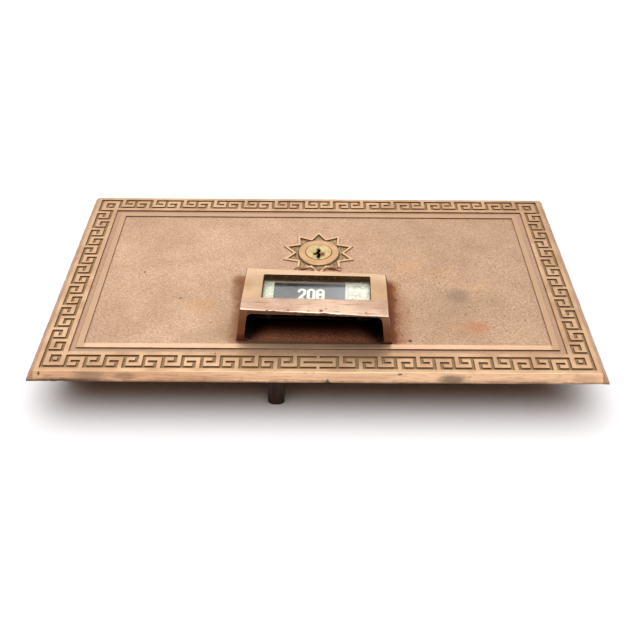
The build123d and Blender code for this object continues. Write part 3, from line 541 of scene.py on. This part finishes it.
def paintHood():
    look = hoodLook
    material, tree, shader, place = newFinish("hoodBronze")
    turned = hoodPlace(tree, place)
    x, y, z = parts(tree, turned)
    normalY, normalZ = parts(tree, addNode(tree, "TexCoord").outputs["Normal"])[1:]
    sideX = calc(tree, "ABSOLUTE", x)
    top, lipEnd = look["height"], -look["length"] / 2

    drift = useGroup(tree, toneDrift, place, Scale=look["driftScale"], Seed=11.0)
    brushed = useGroup(tree, brushMarks, turned, Stretch=(0.07, 1.0, 1.0), Scale=look["fileScale"])
    grain = useGroup(tree, castGrain, place, Scale=look["grainScale"])
    dirt = useGroup(tree, hollowDirt, place, Reach=2.0 * mm)["Dirt"]
    worn = useGroup(tree, wornEdge, place, Width=0.5 * mm)["Worn"]
    pits = useGroup(tree, pinholes, place, Scale=150.0, Size=0.05, Share=0.3)["Pits"]

    # window face, paler beyond the opening, and its slope at the far side
    rail = blend(tree, drift["Wide"], look["rail"], look["railDull"])
    rail = blend(tree, brushed["Streaks"], rail, look["railDull"], 0.65)
    railFar = blend(tree, brushed["Streaks"], look["railFar"], look["rail"], 0.4)
    rail = blend(tree, riseMm(tree, y, -7.0, 5.0), rail, railFar)
    slope = times(tree, riseMm(tree, z, top - 0.6, top - 1.4), riseMm(tree, y, 4.0, 6.0))
    rail = blend(tree, slope, rail, blend(tree, drift["Patches"], look["back"], look["backDull"]))

    # finger edge, scratched along and rubbed pale at its end
    lip = blend(tree, drift["Wide"], look["lip"], look["lipPink"])
    lip = blend(tree, brushed["Streaks"], lip, look["lipPink"], 0.45)
    lip = blend(tree, rise(tree, brushed["Height"], 0.56, 0.68), lip, look["scratch"], 0.55)
    lip = blend(tree, rise(tree, brushed["Height"], 0.42, 0.34), lip, look["lipEdge"], 0.22)
    toEnd = calc(tree, "ADD", scaled(tree, x, -hoodShape["turn"], y), -(lipEnd + hoodShape["shift"]) * mm)
    nibbled = scaled(tree, calc(tree, "SUBTRACT", drift["Wide"], 0.5), 0.5 * mm, toEnd)
    rubbed = times(tree, riseMm(tree, nibbled, 0.7, 0.3), span(tree, brushed["Streaks"], 0.8, 0.3))
    lip = blend(tree, rubbed, lip, look["lipEdge"])
    lip = addStains(tree, turned, lip, look["lipMarks"])
    lipStart = lipEnd + look["lipRun"]
    colour = blend(tree, riseMm(tree, y, lipStart + 0.3, lipStart - 0.3), rail, lip)

    # sides in their own darker tone; the near end painted darker as painted shade, and a dark band of painted shade
    # over the finger space, darkest on the right
    colour = blend(tree, rise(tree, normalZ, 0.8, 0.5), colour, look["side"])
    endFace = times(tree, rise(tree, normalY, -0.7, -0.9), riseMm(tree, z, top - 1.6, top - 2.2))
    colour = blend(tree, endFace, colour, look["end"])
    overGap = times(tree, riseMm(tree, z, top - 5.5, top - 3.8), riseMm(tree, sideX, 33.5, 31.0))
    gapShade = blend(tree, riseMm(tree, x, -20.0, 20.0), look["gapShade"], look["gapShadeRight"])
    colour = blend(tree, times(tree, endFace, overGap), colour, gapShade)

    # the opening's own walls, crusted at their foot
    windowX, windowY, windowWide, windowHigh = look["window"]
    nearX = calc(tree, "ABSOLUTE", calc(tree, "SUBTRACT", x, windowX * mm))
    nearY = calc(tree, "ABSOLUTE", calc(tree, "SUBTRACT", y, windowY * mm))
    nearX = riseMm(tree, nearX, windowWide / 2 + 0.3, windowWide / 2 + 0.1)
    nearY = riseMm(tree, nearY, windowHigh / 2 + 0.3, windowHigh / 2 + 0.1)
    atWindow = times(tree, nearX, nearY, riseMm(tree, z, top - 0.1, top - 0.5))
    lumps = noiseAt(tree, place, 520.0, 3.0, 0.7)
    foot = scaled(tree, calc(tree, "SUBTRACT", lumps, 0.5), 3.0 * mm, z)
    foot = riseMm(tree, foot, top - 2.9, top - 3.7)
    crust = calc(tree, "MAXIMUM", times(tree, rise(tree, lumps, 0.42, 0.66), 0.6), foot)
    colour = blend(tree, atWindow, colour, blend(tree, crust, look["windowWall"], look["windowCrust"]))

    # the finger space's walls and ceiling: a painted shade, near black, lighter low down towards the mouth
    ceiling = top - look["wall"]
    innerHalf = scaled(tree, z, -look["lean"], (look["foot"] / 2 - look["wall"] + 0.15) * mm)
    hollow = times(tree, riseMm(tree, y, lipEnd + 0.4, lipEnd + 1.0), riseMm(tree, z, ceiling + 0.1, ceiling + 0.02))
    hollow = times(tree, hollow, riseMm(tree, calc(tree, "SUBTRACT", sideX, innerHalf), 0.25, 0.0))
    hollow = times(tree, hollow, rise(tree, normalY, 0.45, 0.25))
    low = times(tree, riseMm(tree, z, 12.0, 1.0), riseMm(tree, y, -14.0, -24.0))
    colour = blend(tree, hollow, colour, blend(tree, low, look["shadedInside"], look["shadedInsideLow"]))
    colour = blend(tree, dirt, colour, look["grime"], 0.6)
    worn = times(tree, worn, calc(tree, "SUBTRACT", 1.0, hollow))
    colour = blend(tree, worn, colour, look["worn"], calc(tree, "SUBTRACT", 0.6, dirt))
    colour = blend(tree, pits, colour, look["grime"], 0.75)

    dull = calc(tree, "MAXIMUM", calc(tree, "MAXIMUM", dirt, atWindow), hollow)
    rough = scaled(tree, dull, 0.22, span(tree, drift["Wide"], 0.36, 0.46))
    rough = scaled(tree, hollow, 0.25, rough)
    height = scaled(tree, brushed["Height"], 0.6, times(tree, grain["Height"], 0.4))
    height = scaled(tree, pits, -2.0, height)
    metal = scaled(tree, dull, -0.5, 1.0)
    setFinish(tree, shader, colour, rough, metal, height, look["bumpDepth"] * mm, 0.8)
    return material


# ---- lock and plug

lockLook = {
    "axis": (0.0, 20.2, 0.0),
    "nose": (198, 162, 128), "noseDull": (178, 140, 104), "rim": (210, 178, 144),
    "seat": (196, 154, 102), "seatDark": (134, 84, 52),
    "rear": (196, 152, 92), "rearDull": (150, 112, 64), "grime": (62, 40, 24),
    "ringScale": 2600.0,
}


def paintLock():
    look = lockLook
    axis = Vector(look["axis"]) * mm
    material, tree, shader, place = newFinish("lockBrass")
    y, z = parts(tree, place)[1:]
    away = fromAxis(tree, place, axis)
    rings = useGroup(tree, turnedLines, place, Centre=axis, Scale=look["ringScale"])
    drift = useGroup(tree, toneDrift, place, Scale=120.0, Seed=5.0)["Wide"]
    dirt = useGroup(tree, hollowDirt, place, Reach=1.0 * mm)["Dirt"]
    worn = useGroup(tree, wornEdge, place, Width=0.3 * mm)["Worn"]
    front = blend(tree, drift, look["nose"], look["noseDull"])
    front = blend(tree, rings["Streaks"], front, look["noseDull"], 0.3)
    front = blend(tree, riseMm(tree, away, 10.9, 11.2), front, look["rim"])
    lower = riseMm(tree, y, look["axis"][1] + 1.0, look["axis"][1] - 6.0)
    front = blend(tree, times(tree, riseMm(tree, away, 8.9, 8.1), lower), front, look["seat"], 0.7)
    front = blend(tree, riseMm(tree, away, 7.9, 7.6), front, look["seatDark"], 0.75)
    back = blend(tree, drift, look["rear"], look["rearDull"])
    colour = blend(tree, riseMm(tree, z, 24.0, 23.6), front, back)
    colour = blend(tree, dirt, colour, look["grime"], 0.75)
    colour = blend(tree, worn, colour, look["rim"], 0.35)
    rough = scaled(tree, dirt, 0.2, span(tree, drift, 0.34, 0.44))
    setFinish(tree, shader, colour, rough, 1.0, rings["Height"], 0.05 * mm)
    return material


plugLook = {
    "face": (198, 178, 132), "faceDull": (176, 152, 106), "spot": (132, 98, 62),
    # the keyway's tone is a painted shade inside the slot
    "keyway": (24, 13, 9), "edge": (120, 84, 52), "worn": (226, 206, 162),
    "top": 26.7, "ringScale": 1900.0,
    # dark marks that widen the keyway's opening as painted shade, and a small spot above it: x, y, z, half width,
    # half height, strength, tone
    "marks": [
        (2.2, 17.7, 26.7, 2.2, 2.9, 0.95, (112, 62, 40)),
        (-0.3, 21.8, 26.7, 1.6, 2.4, 0.95, (52, 27, 18)),
        (-0.3, 18.6, 26.7, 1.8, 2.8, 0.95, (46, 24, 16)),
        (-2.3, 17.9, 26.7, 1.5, 1.9, 0.95, (52, 27, 18)),
        (-0.1, 15.2, 26.7, 2.0, 3.0, 0.95, (46, 24, 16)),
        (0.0, 24.6, 26.7, 0.5, 0.5, 0.7, (132, 98, 62)),
    ],
}


def paintPlug():
    look = plugLook
    top = look["top"]
    material, tree, shader, place = newFinish("plugBrass")
    x, y, z = parts(tree, place)
    axis = Vector(lockLook["axis"]) * mm
    rings = useGroup(tree, turnedLines, place, Centre=axis, Scale=look["ringScale"])
    drift = useGroup(tree, toneDrift, place, Scale=190.0, Seed=2.0)
    grain = useGroup(tree, castGrain, place, Scale=1800.0)
    worn = useGroup(tree, wornEdge, place, Width=0.25 * mm)["Worn"]
    colour = blend(tree, drift["Wide"], look["face"], look["faceDull"])
    colour = blend(tree, drift["Patches"], colour, look["spot"], 0.5)
    colour = addStains(tree, place, colour, look["marks"])
    colour = blend(tree, worn, colour, look["worn"], 0.4)
    colour = blend(tree, riseMm(tree, z, top - 0.12, top - 0.35), colour, look["edge"], 0.9)
    # the keyway's walls are painted near black: painted shade in the slot
    inKeyway = times(tree, riseMm(tree, calc(tree, "ABSOLUTE", x), 3.6, 3.2), riseMm(tree, z, top - 0.1, top - 0.5))
    colour = blend(tree, times(tree, inKeyway, riseMm(tree, z, 8.0, 9.5)), colour, look["keyway"])
    height = scaled(tree, grain["Height"], 0.4, rings["Height"])
    setFinish(tree, shader, colour, span(tree, drift["Wide"], 0.3, 0.42), 1.0, height, 0.04 * mm)
    return material


# ---- plainer metals behind the plate

metalGrime = {"dirt": (54, 40, 28), "pit": (60, 44, 32)}

# tone, dull tone, worn tone, roughness, stretch and scale of the file marks, their depth in millimetres
metalLooks = {
    "boltBrass": ((206, 168, 96), (158, 120, 66), (240, 212, 150), (0.32, 0.46), (0.06, 1.0, 1.0), 1600.0, 0.05),
    "bushBronze": ((178, 128, 84), (120, 82, 50), (226, 184, 130), (0.3, 0.42), (1.0, 0.1, 1.0), 1800.0, 0.04),
    "sheetBrass": ((204, 172, 104), (160, 128, 74), (236, 210, 150), (0.3, 0.4), (0.05, 1.0, 1.0), 2200.0, 0.03),
    "dullSteel": ((160, 158, 154), (112, 108, 102), (208, 206, 202), (0.32, 0.48), (1.0, 0.2, 1.0), 1400.0, 0.04),
    "springWire": ((150, 150, 152), (98, 96, 96), (198, 198, 200), (0.28, 0.4), (1.0, 0.3, 1.0), 2600.0, 0.02),
    # the keeper and its screws under the hood are painted near black: painted shade
    "keeperShade": ((34, 25, 19), (22, 16, 13), (52, 38, 28), (0.62, 0.75), (0.2, 1.0, 1.0), 1500.0, 0.05),
    "guideBronze": ((186, 140, 96), (122, 86, 56), (232, 192, 144), (0.42, 0.56), (1.0, 1.0, 1.0), 900.0, 0.1),
}


def paintMetal(name):
    shade, dull, rubbed, rough, stretch, scale, depth = metalLooks[name]
    material, tree, shader, place = newFinish(name)
    drift = useGroup(tree, toneDrift, place, Scale=70.0, Seed=9.0)["Wide"]
    marks = useGroup(tree, brushMarks, place, Stretch=stretch, Scale=scale)
    dirt = useGroup(tree, hollowDirt, place, Reach=1.6 * mm)["Dirt"]
    worn = useGroup(tree, wornEdge, place, Width=0.35 * mm)["Worn"]
    pits = useGroup(tree, pinholes, place, Scale=220.0, Size=0.05, Share=0.25)["Pits"]
    colour = blend(tree, drift, shade, dull)
    colour = blend(tree, marks["Streaks"], colour, dull, 0.35)
    colour = blend(tree, dirt, colour, metalGrime["dirt"], 0.6)
    colour = blend(tree, worn, colour, rubbed, 0.55)
    colour = blend(tree, pits, colour, metalGrime["pit"], 0.5)
    rough = scaled(tree, dirt, 0.2, span(tree, drift, *rough))
    setFinish(tree, shader, colour, rough, 1.0, scaled(tree, pits, -1.0, marks["Height"]), depth * mm)
    return material


# ---- card, print and pane

cardLook = {"card": (244, 241, 230), "cardGreen": (226, 226, 202), "cardDark": (144, 140, 116), "scale": 800.0}


def paintCard():
    look = cardLook
    material, tree, shader, place = newFinish("whiteCard")
    grain = useGroup(tree, castGrain, place, Scale=look["scale"])
    drift = useGroup(tree, toneDrift, place, Scale=160.0, Seed=4.0)["Wide"]
    toLeft = riseMm(tree, parts(tree, place)[0], -16.0, -24.0)
    colour = blend(tree, toLeft, look["card"], look["cardGreen"])
    colour = blend(tree, drift, colour, look["cardGreen"], 0.35)
    fibres = rise(tree, noiseAt(tree, place, 620.0, 3.0, 0.7), 0.44, 0.68)
    colour = blend(tree, fibres, colour, look["cardDark"], 0.6)
    colour = blend(tree, grain["Specks"], colour, look["cardDark"], 0.4)
    setFinish(tree, shader, colour, span(tree, grain["Height"], 0.75, 0.9), 0.0, grain["Height"], 0.12 * mm)
    return material


# the light tone is a painted reflection of the pane, and also the smears' tone
stripLook = {"dark": (28, 29, 37), "light": (126, 128, 140), "edge": (176, 164, 142), "scale": 700.0}


def paintStrip():
    look = stripLook
    material, tree, shader, place = newFinish("darkPrint")
    x, y, z = parts(tree, place)
    smear = useGroup(tree, brushMarks, place, Stretch=(1.0, 0.08, 1.0), Scale=look["scale"])
    drift = useGroup(tree, toneDrift, place, Scale=90.0, Seed=6.0)["Wide"]
    # the strip is painted lighter towards the right, a painted reflection of the pane; its smear streaks take the
    # same tone
    colour = blend(tree, riseMm(tree, x, -14.0, 20.0), look["dark"], look["light"])
    colour = blend(tree, smear["Streaks"], colour, look["light"], 0.16)
    # a torn pale line along the strip's upper edge, which is askew like the hood
    toTop = scaled(tree, x, math.tan(math.radians(hoodLook["skew"])), y)
    toTop = scaled(tree, noiseAt(tree, place, 700.0, 3.0), 1.6 * mm, toTop)
    colour = blend(tree, riseMm(tree, toTop, -28.2, -27.6), colour, look["edge"])
    setFinish(tree, shader, colour, span(tree, drift, 0.35, 0.5), 0.0, smear["Height"], 0.02 * mm, 0.5)
    return material


printLook = {"white": (246, 246, 240), "thin": (214, 214, 208), "scale": 1500.0}


def paintNumerals():
    look = printLook
    material, tree, shader, place = newFinish("whitePrint")
    grain = useGroup(tree, castGrain, place, Scale=look["scale"])
    colour = blend(tree, grain["Specks"], look["white"], look["thin"], 0.4)
    setFinish(tree, shader, colour, span(tree, grain["Height"], 0.5, 0.65), 0.0, grain["Height"], 0.02 * mm, 0.5)
    return material


paneLook = {"tint": (246, 248, 246), "smear": (232, 232, 226), "scale": 60.0, "ior": 1.46, "shadowThrough": 0.9}


def paintPane():
    look = paneLook
    material, tree, shader, place = newFinish("paneGlass")
    smear = useGroup(tree, toneDrift, place, Scale=look["scale"], Seed=1.0)
    colour = blend(tree, smear["Wide"], look["tint"], look["smear"])
    waves = useGroup(tree, toneDrift, place, Scale=110.0, Seed=8.0)["Wide"]
    setFinish(tree, shader, colour, span(tree, smear["Patches"], 0.0, 0.012), 0.0, waves, 0.01 * mm, 0.05)
    shader.inputs["IOR"].default_value = look["ior"]
    shader.inputs["Transmission Weight"].default_value = 1.0
    shadow = addNode(tree, "LightPath").outputs["Is Shadow Ray"]
    setSocket(tree, shader.inputs["Alpha"], scaled(tree, shadow, -look["shadowThrough"], 1.0))
    return material


finishes = {
    "cast_bronze": paintDoor(),
    "hood_bronze": paintHood(),
    "lock_brass": paintLock(),
    "plug_brass": paintPlug(),
    "bolt_brass": paintMetal("boltBrass"),
    "bush_bronze": paintMetal("bushBronze"),
    "sheet_brass": paintMetal("sheetBrass"),
    "steel": paintMetal("dullSteel"),
    "spring_steel": paintMetal("springWire"),
    "pane_glass": paintPane(),
    "card": paintCard(),
    "printed_strip": paintStrip(),
    "white_print": paintNumerals(),
}
guideFinish = paintMetal("guideBronze")
# painted shade for the keeper and its screws, which sit in the hood's dark
keeperShadeFinish = paintMetal("keeperShade")
ownFinish = {"card_keeper": keeperShadeFinish, "keeper_screws": keeperShadeFinish}
print("finishes made:", len(finishes) + 2)


# ---- pieces that replace CAD nodes: the same shape with softened edges and wear

def softCopy(node, name, body, finish, softness, wear=None, sharp=30.0):
    # softness gives an edge's rounding in millimetres from its two ends
    mesh = bpy.data.meshes.new(name)
    bm = bmesh.new()
    bm.from_mesh(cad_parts[node].data)
    bmesh.ops.remove_doubles(bm, verts=bm.verts[:], dist=0.002 * mm)
    bmesh.ops.dissolve_limit(bm, angle_limit=math.radians(0.5), verts=bm.verts[:], edges=bm.edges[:])
    if wear:
        wear(bm)
    weights = bm.edges.layers.float.new("bevel_weight_edge")
    for edge in bm.edges:
        if len(edge.link_faces) == 2 and edge.calc_face_angle(0) > math.radians(sharp):
            edge[weights] = softness(edge.verts[0].co / mm, edge.verts[1].co / mm)
    bm.to_mesh(mesh)
    bm.free()
    for layer in ("custom_normal", "sharp_edge", "sharp_face"):
        if layer in mesh.attributes:
            mesh.attributes.remove(mesh.attributes[layer])
    mesh.materials.clear()
    mesh.materials.append(finish)
    mesh.shade_smooth()
    mesh.set_sharp_from_angle(angle=math.radians(sharp))
    piece = bpy.data.objects.new(name, mesh)
    bpy.context.scene.collection.objects.link(piece)
    rounding = piece.modifiers.new("softEdges", "BEVEL")
    rounding.limit_method = "WEIGHT"
    rounding.width = 1.0 * mm
    rounding.segments = 2
    rounding.use_clamp_overlap = False
    rounding.loop_slide = False
    rounding.harden_normals = True
    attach(piece, body)
    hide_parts(node)
    return piece


def waver(bm, edges, cuts, reach, inward, scale, nicks):
    # cuts edges up and moves the new points inwards, unevenly, deeper at each nick (x, half width, depth)
    made = bmesh.ops.subdivide_edges(bm, edges=edges, cuts=cuts)
    for point in {item for item in made["geom_inner"] if isinstance(item, bmesh.types.BMVert)}:
        x, y = point.co.x / mm, point.co.y / mm
        depth = reach * (0.5 + noise.noise(Vector((x * scale, y * scale, 3.1))))
        depth += 0.35 * reach * (0.5 + noise.noise(Vector((x * scale * 4, y * scale * 4, 8.7))))
        for nickX, wide, deep in nicks:
            depth += deep * max(0.0, 1 - abs(x - nickX) / wide)
        point.co += Vector(inward) * max(0.0, depth) * mm


castingShape = {
    "halfWidth": 138.0, "halfHeight": 79.5, "backZ": 22.0, "faceZ": 26.0, "bevelRun": 3.6,
    "cornerRound": 1.5, "hipRound": 0.5, "rimRound": 0.22, "ridgeRound": 0.3,
    "cutRound": 0.13, "cutsFrom": 24.5, "rearRound": 0.45, "rearShortest": 2.5,
    "rimWaver": 0.16,
    # x, half width, depth
    "nicks": [
        (-131.0, 1.6, 0.45), (-126.5, 1.0, 0.3), (-121.5, 1.8, 0.5), (-114.5, 1.2, 0.35), (-104.0, 1.0, 0.2),
        (4.5, 1.4, 0.5), (38.8, 1.0, 0.3), (71.0, 1.2, 0.25), (103.0, 1.0, 0.25),
    ],
}


def castingSoftness(a, b):
    shape = castingShape
    wide, high = shape["halfWidth"], shape["halfHeight"]
    low, far = min(a.z, b.z), max(a.z, b.z)
    out = min(max(abs(p.x) - wide, abs(p.y) - high) for p in (a, b))
    if all(abs(abs(p.x) - wide) < 0.6 and abs(abs(p.y) - high) < 0.6 for p in (a, b)):
        return shape["cornerRound"]
    if out > -0.8:
        return shape["rimRound"]
    if far > shape["faceZ"] - 0.05 and low < shape["backZ"] + 1.0:
        return shape["hipRound"]
    if out > -shape["bevelRun"] and low > shape["faceZ"] - 0.05:
        return shape["ridgeRound"]
    if low > shape["cutsFrom"]:
        return shape["cutRound"]
    # long edges behind the plate, apart from those that lie in its rear face
    longEnough = abs(a.y - b.y) + abs(a.x - b.x) > shape["rearShortest"]
    if far < shape["backZ"] + 0.05 and (a.z + b.z) / 2 < shape["backZ"] - 0.05 and longEnough:
        return shape["rearRound"]
    return 0.0


def wearCasting(bm):
    shape = castingShape
    # the near edge, then the two sides: axis it lies at, side, half size, pieces, inward, noise scale, nicks
    rims = [
        (1, -1, shape["halfHeight"], 150, (0, 1, 0.25), 0.11, shape["nicks"]),
        (0, -1, shape["halfWidth"], 70, (1, 0, 0), 0.13, []),
        (0, 1, shape["halfWidth"], 70, (-1, 0, 0), 0.13, []),
    ]
    for axis, side, half, cuts, inward, scale, nicks in rims:
        edges = []
        for edge in bm.edges:
            first, second = (v.co / mm for v in edge.verts)
            atRim = min(side * first[axis], side * second[axis]) > half - 0.05
            if atRim and abs(first[1 - axis] - second[1 - axis]) > 50:
                edges.append(edge)
        waver(bm, edges, cuts, shape["rimWaver"], inward, scale, nicks)


doorCasting = softCopy(
    "door_plate", "doorCasting", "door", finishes["cast_bronze"], castingSoftness, wearCasting
)
print("door casting:", len(doorCasting.data.vertices), "points")


def hoodSoftness(a, b):
    low, far, length = min(a.z, b.z), max(a.z, b.z), (a - b).length
    if low < hoodLook["baseZ"] + 0.1:
        return 0.0
    if low > hoodShape["edgesFrom"]:
        return hoodShape["edgeRound"]
    if far > hoodShape["windowFrom"] and length > 2:
        return hoodShape["windowRound"]
    return hoodShape["insideRound"] if length > 4 else 0.0


def wearHood(bm):
    look, shape = hoodLook, hoodShape
    near = -look["length"] / 2
    lipMiddle, outward = hoodPoint(0, near), hoodPoint(0, 1) - hoodPoint(0, 0)
    lip = []
    for edge in bm.edges:
        out = max(abs((v.co - lipMiddle).dot(outward) / mm ** 2) for v in edge.verts)
        if out < 0.05 and min(v.co.z for v in edge.verts) / mm > shape["edgesFrom"]:
            lip.append(edge)
    waver(bm, lip, 60, shape["waver"], (0, 0.5, 0.6), 0.16, shape["nicks"])
    # the real casting is out of square: its far and lip edges turn against its window,
    # its lip thins to the right, and it narrows away from the lip
    angle = math.radians(-look["skew"])
    ceiling = look["height"] - look["wall"]
    for point in bm.verts:
        x, y = point.co.x / mm - look["originX"], point.co.y / mm - look["originY"]
        across, up = x * math.cos(angle) + y * math.sin(angle), y * math.cos(angle) - x * math.sin(angle)
        above = min(point.co.z / mm - look["baseZ"], look["height"] - 0.001)
        if up < near + 0.05 and above < ceiling + 0.1:
            thinned = shape["lipThins"] + shape["thinsMore"] * across / shape["sideStarts"]
            above += thinned * max(0.0, 1 - (ceiling - above) / shape["thinsOver"])
        slip = 0.0
        if up < near + 1.0 or (up > 3.0 and above > look["height"] - 0.05):
            slip = (shape["shift"] + shape["turn"] * across) * above / look["height"]
        wide = 1.0
        if abs(across) >= shape["sideStarts"]:
            wide = shape["nearWidth"] - shape["narrowing"] * (up - near) / look["length"]
        point.co = hoodPoint(across * wide, up + slip, above)


pullHood = softCopy(
    "pull_hood", "pullHood", "door", finishes["hood_bronze"], hoodSoftness, wearHood
)
print("pull hood:", len(pullHood.data.vertices), "points")

# the turned and machined pieces need only their edges broken:
# node, name, body, slot, finish, rounding, shortest edge that is rounded
machined = [
    ("lock_shell", "lockShell", "door", "lock_brass", finishes["lock_brass"], 0.12, 2.0),
    ("lock_plug", "lockPlug", "cylinder", "plug_brass", finishes["plug_brass"], 0.08, 0.4),
    ("bolt_bar", "boltBar", "bolt", "bolt_brass", finishes["bolt_brass"], 0.3, 1.5),
    ("bolt_guide_inner", "boltGuideInner", "door", "cast_bronze", guideFinish, 0.4, 1.0),
    ("bolt_guide_outer", "boltGuideOuter", "door", "cast_bronze", guideFinish, 0.4, 1.0),
    ("cam", "camArm", "cylinder", "steel", finishes["steel"], 0.2, 1.0),
]
for node, name, body, slot, finish, width, shortest in machined:
    softCopy(node, name, body, finish, lambda a, b: width if (a - b).length > shortest else 0.0)
    print("softened", name)

# nodes whose shape is right keep their mesh and get a better finish
replaced = {"door_plate", "pull_hood"} | {row[0] for row in machined}
for node in sorted(set(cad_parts) - replaced):
    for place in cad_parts[node].material_slots:
        place.material = ownFinish.get(node, finishes[place.material.name])


# ---- floor, light and camera

studio = {
    "floor": (240, 240, 242), "fleck": (225, 225, 228), "wall": (255, 255, 255),
    "low": 0.13, "lowTone": (0.9, 0.52, 0.36, 1.0),
    "middle": 1.0, "overhead": 1.6,                   # brightness of the room, from the floor's level up
    "starts": (0.49, 0.73),
    "rearLift": 0.22,                                 # how much lower the glow reaches behind the door
    "softboxPower": 4.5, "softboxSize": (1.6, 0.9), "softboxPlace": (-0.25, 0.9, 1.2),
}


def setStage():
    mesh = bpy.data.meshes.new("floorSheet")
    bm = bmesh.new()
    bmesh.ops.create_grid(bm, x_segments=1, y_segments=1, size=6.0)
    bm.to_mesh(mesh)
    bm.free()
    floor = bpy.data.objects.new("floorSheet", mesh)
    bpy.context.scene.collection.objects.link(floor)
    material, tree, shader, place = newFinish("palePaper")
    shade = blend(tree, noiseAt(tree, place, 900.0, 2.0), studio["floor"], studio["fleck"], 0.03)
    setSocket(tree, shader.inputs["Base Color"], shade)
    shader.inputs["Roughness"].default_value = 0.9
    shader.inputs["Specular IOR Level"].default_value = 0.2
    mesh.materials.append(material)


def setLight():
    world = bpy.data.worlds.new("paleRoom")
    bpy.context.scene.world = world
    world.use_nodes = True
    tree = world.node_tree
    tree.nodes.clear()
    across, back, up = parts(tree, addNode(tree, "TexCoord").outputs["Generated"])
    above = rise(tree, scaled(tree, back, studio["rearLift"], up), *studio["starts"])
    glow = scaled(tree, above, studio["middle"] - studio["low"], studio["low"])
    glow = scaled(tree, rise(tree, up, 0.6, 0.97), studio["overhead"], glow)
    tint = blend(tree, above, studio["lowTone"], (255, 255, 255))
    sky = addNode(tree, "Background", {"Color": tint, "Strength": glow})
    # behind the object stands a pale wall, which gives no light of its own
    wall = addNode(tree, "Background", {"Color": studio["wall"], "Strength": 1.0})
    seen = addNode(tree, "LightPath").outputs["Is Camera Ray"]
    shown = addNode(tree, "MixShader", {0: seen, 1: sky.outputs[0], 2: wall.outputs[0]})
    addNode(tree, "OutputWorld", {"Surface": shown.outputs[0]})
    data = bpy.data.lights.new("rearSoftbox", "AREA")
    data.shape = "RECTANGLE"
    data.size, data.size_y = studio["softboxSize"]
    data.energy = studio["softboxPower"]
    lamp = bpy.data.objects.new("rearSoftbox", data)
    lamp.location = studio["softboxPlace"]
    lamp.rotation_euler = Vector(studio["softboxPlace"]).to_track_quat("Z", "Y").to_euler()
    bpy.context.scene.collection.objects.link(lamp)


view = {"place": (0.00002, -0.35198, 0.29343), "turn": (49.5545, -0.3393, 0.1371), "lens": 45.721}


def setCamera():
    data = bpy.data.cameras.new("photoView")
    data.lens = view["lens"]
    data.sensor_width = 36.0
    camera = bpy.data.objects.new("photoView", data)
    camera.location = view["place"]
    camera.rotation_euler = [math.radians(angle) for angle in view["turn"]]
    bpy.context.scene.collection.objects.link(camera)
    bpy.context.scene.camera = camera


setStage()
setLight()
setCamera()
bpy.context.scene.view_settings.view_transform = "Standard"
print("stage, light and camera set")
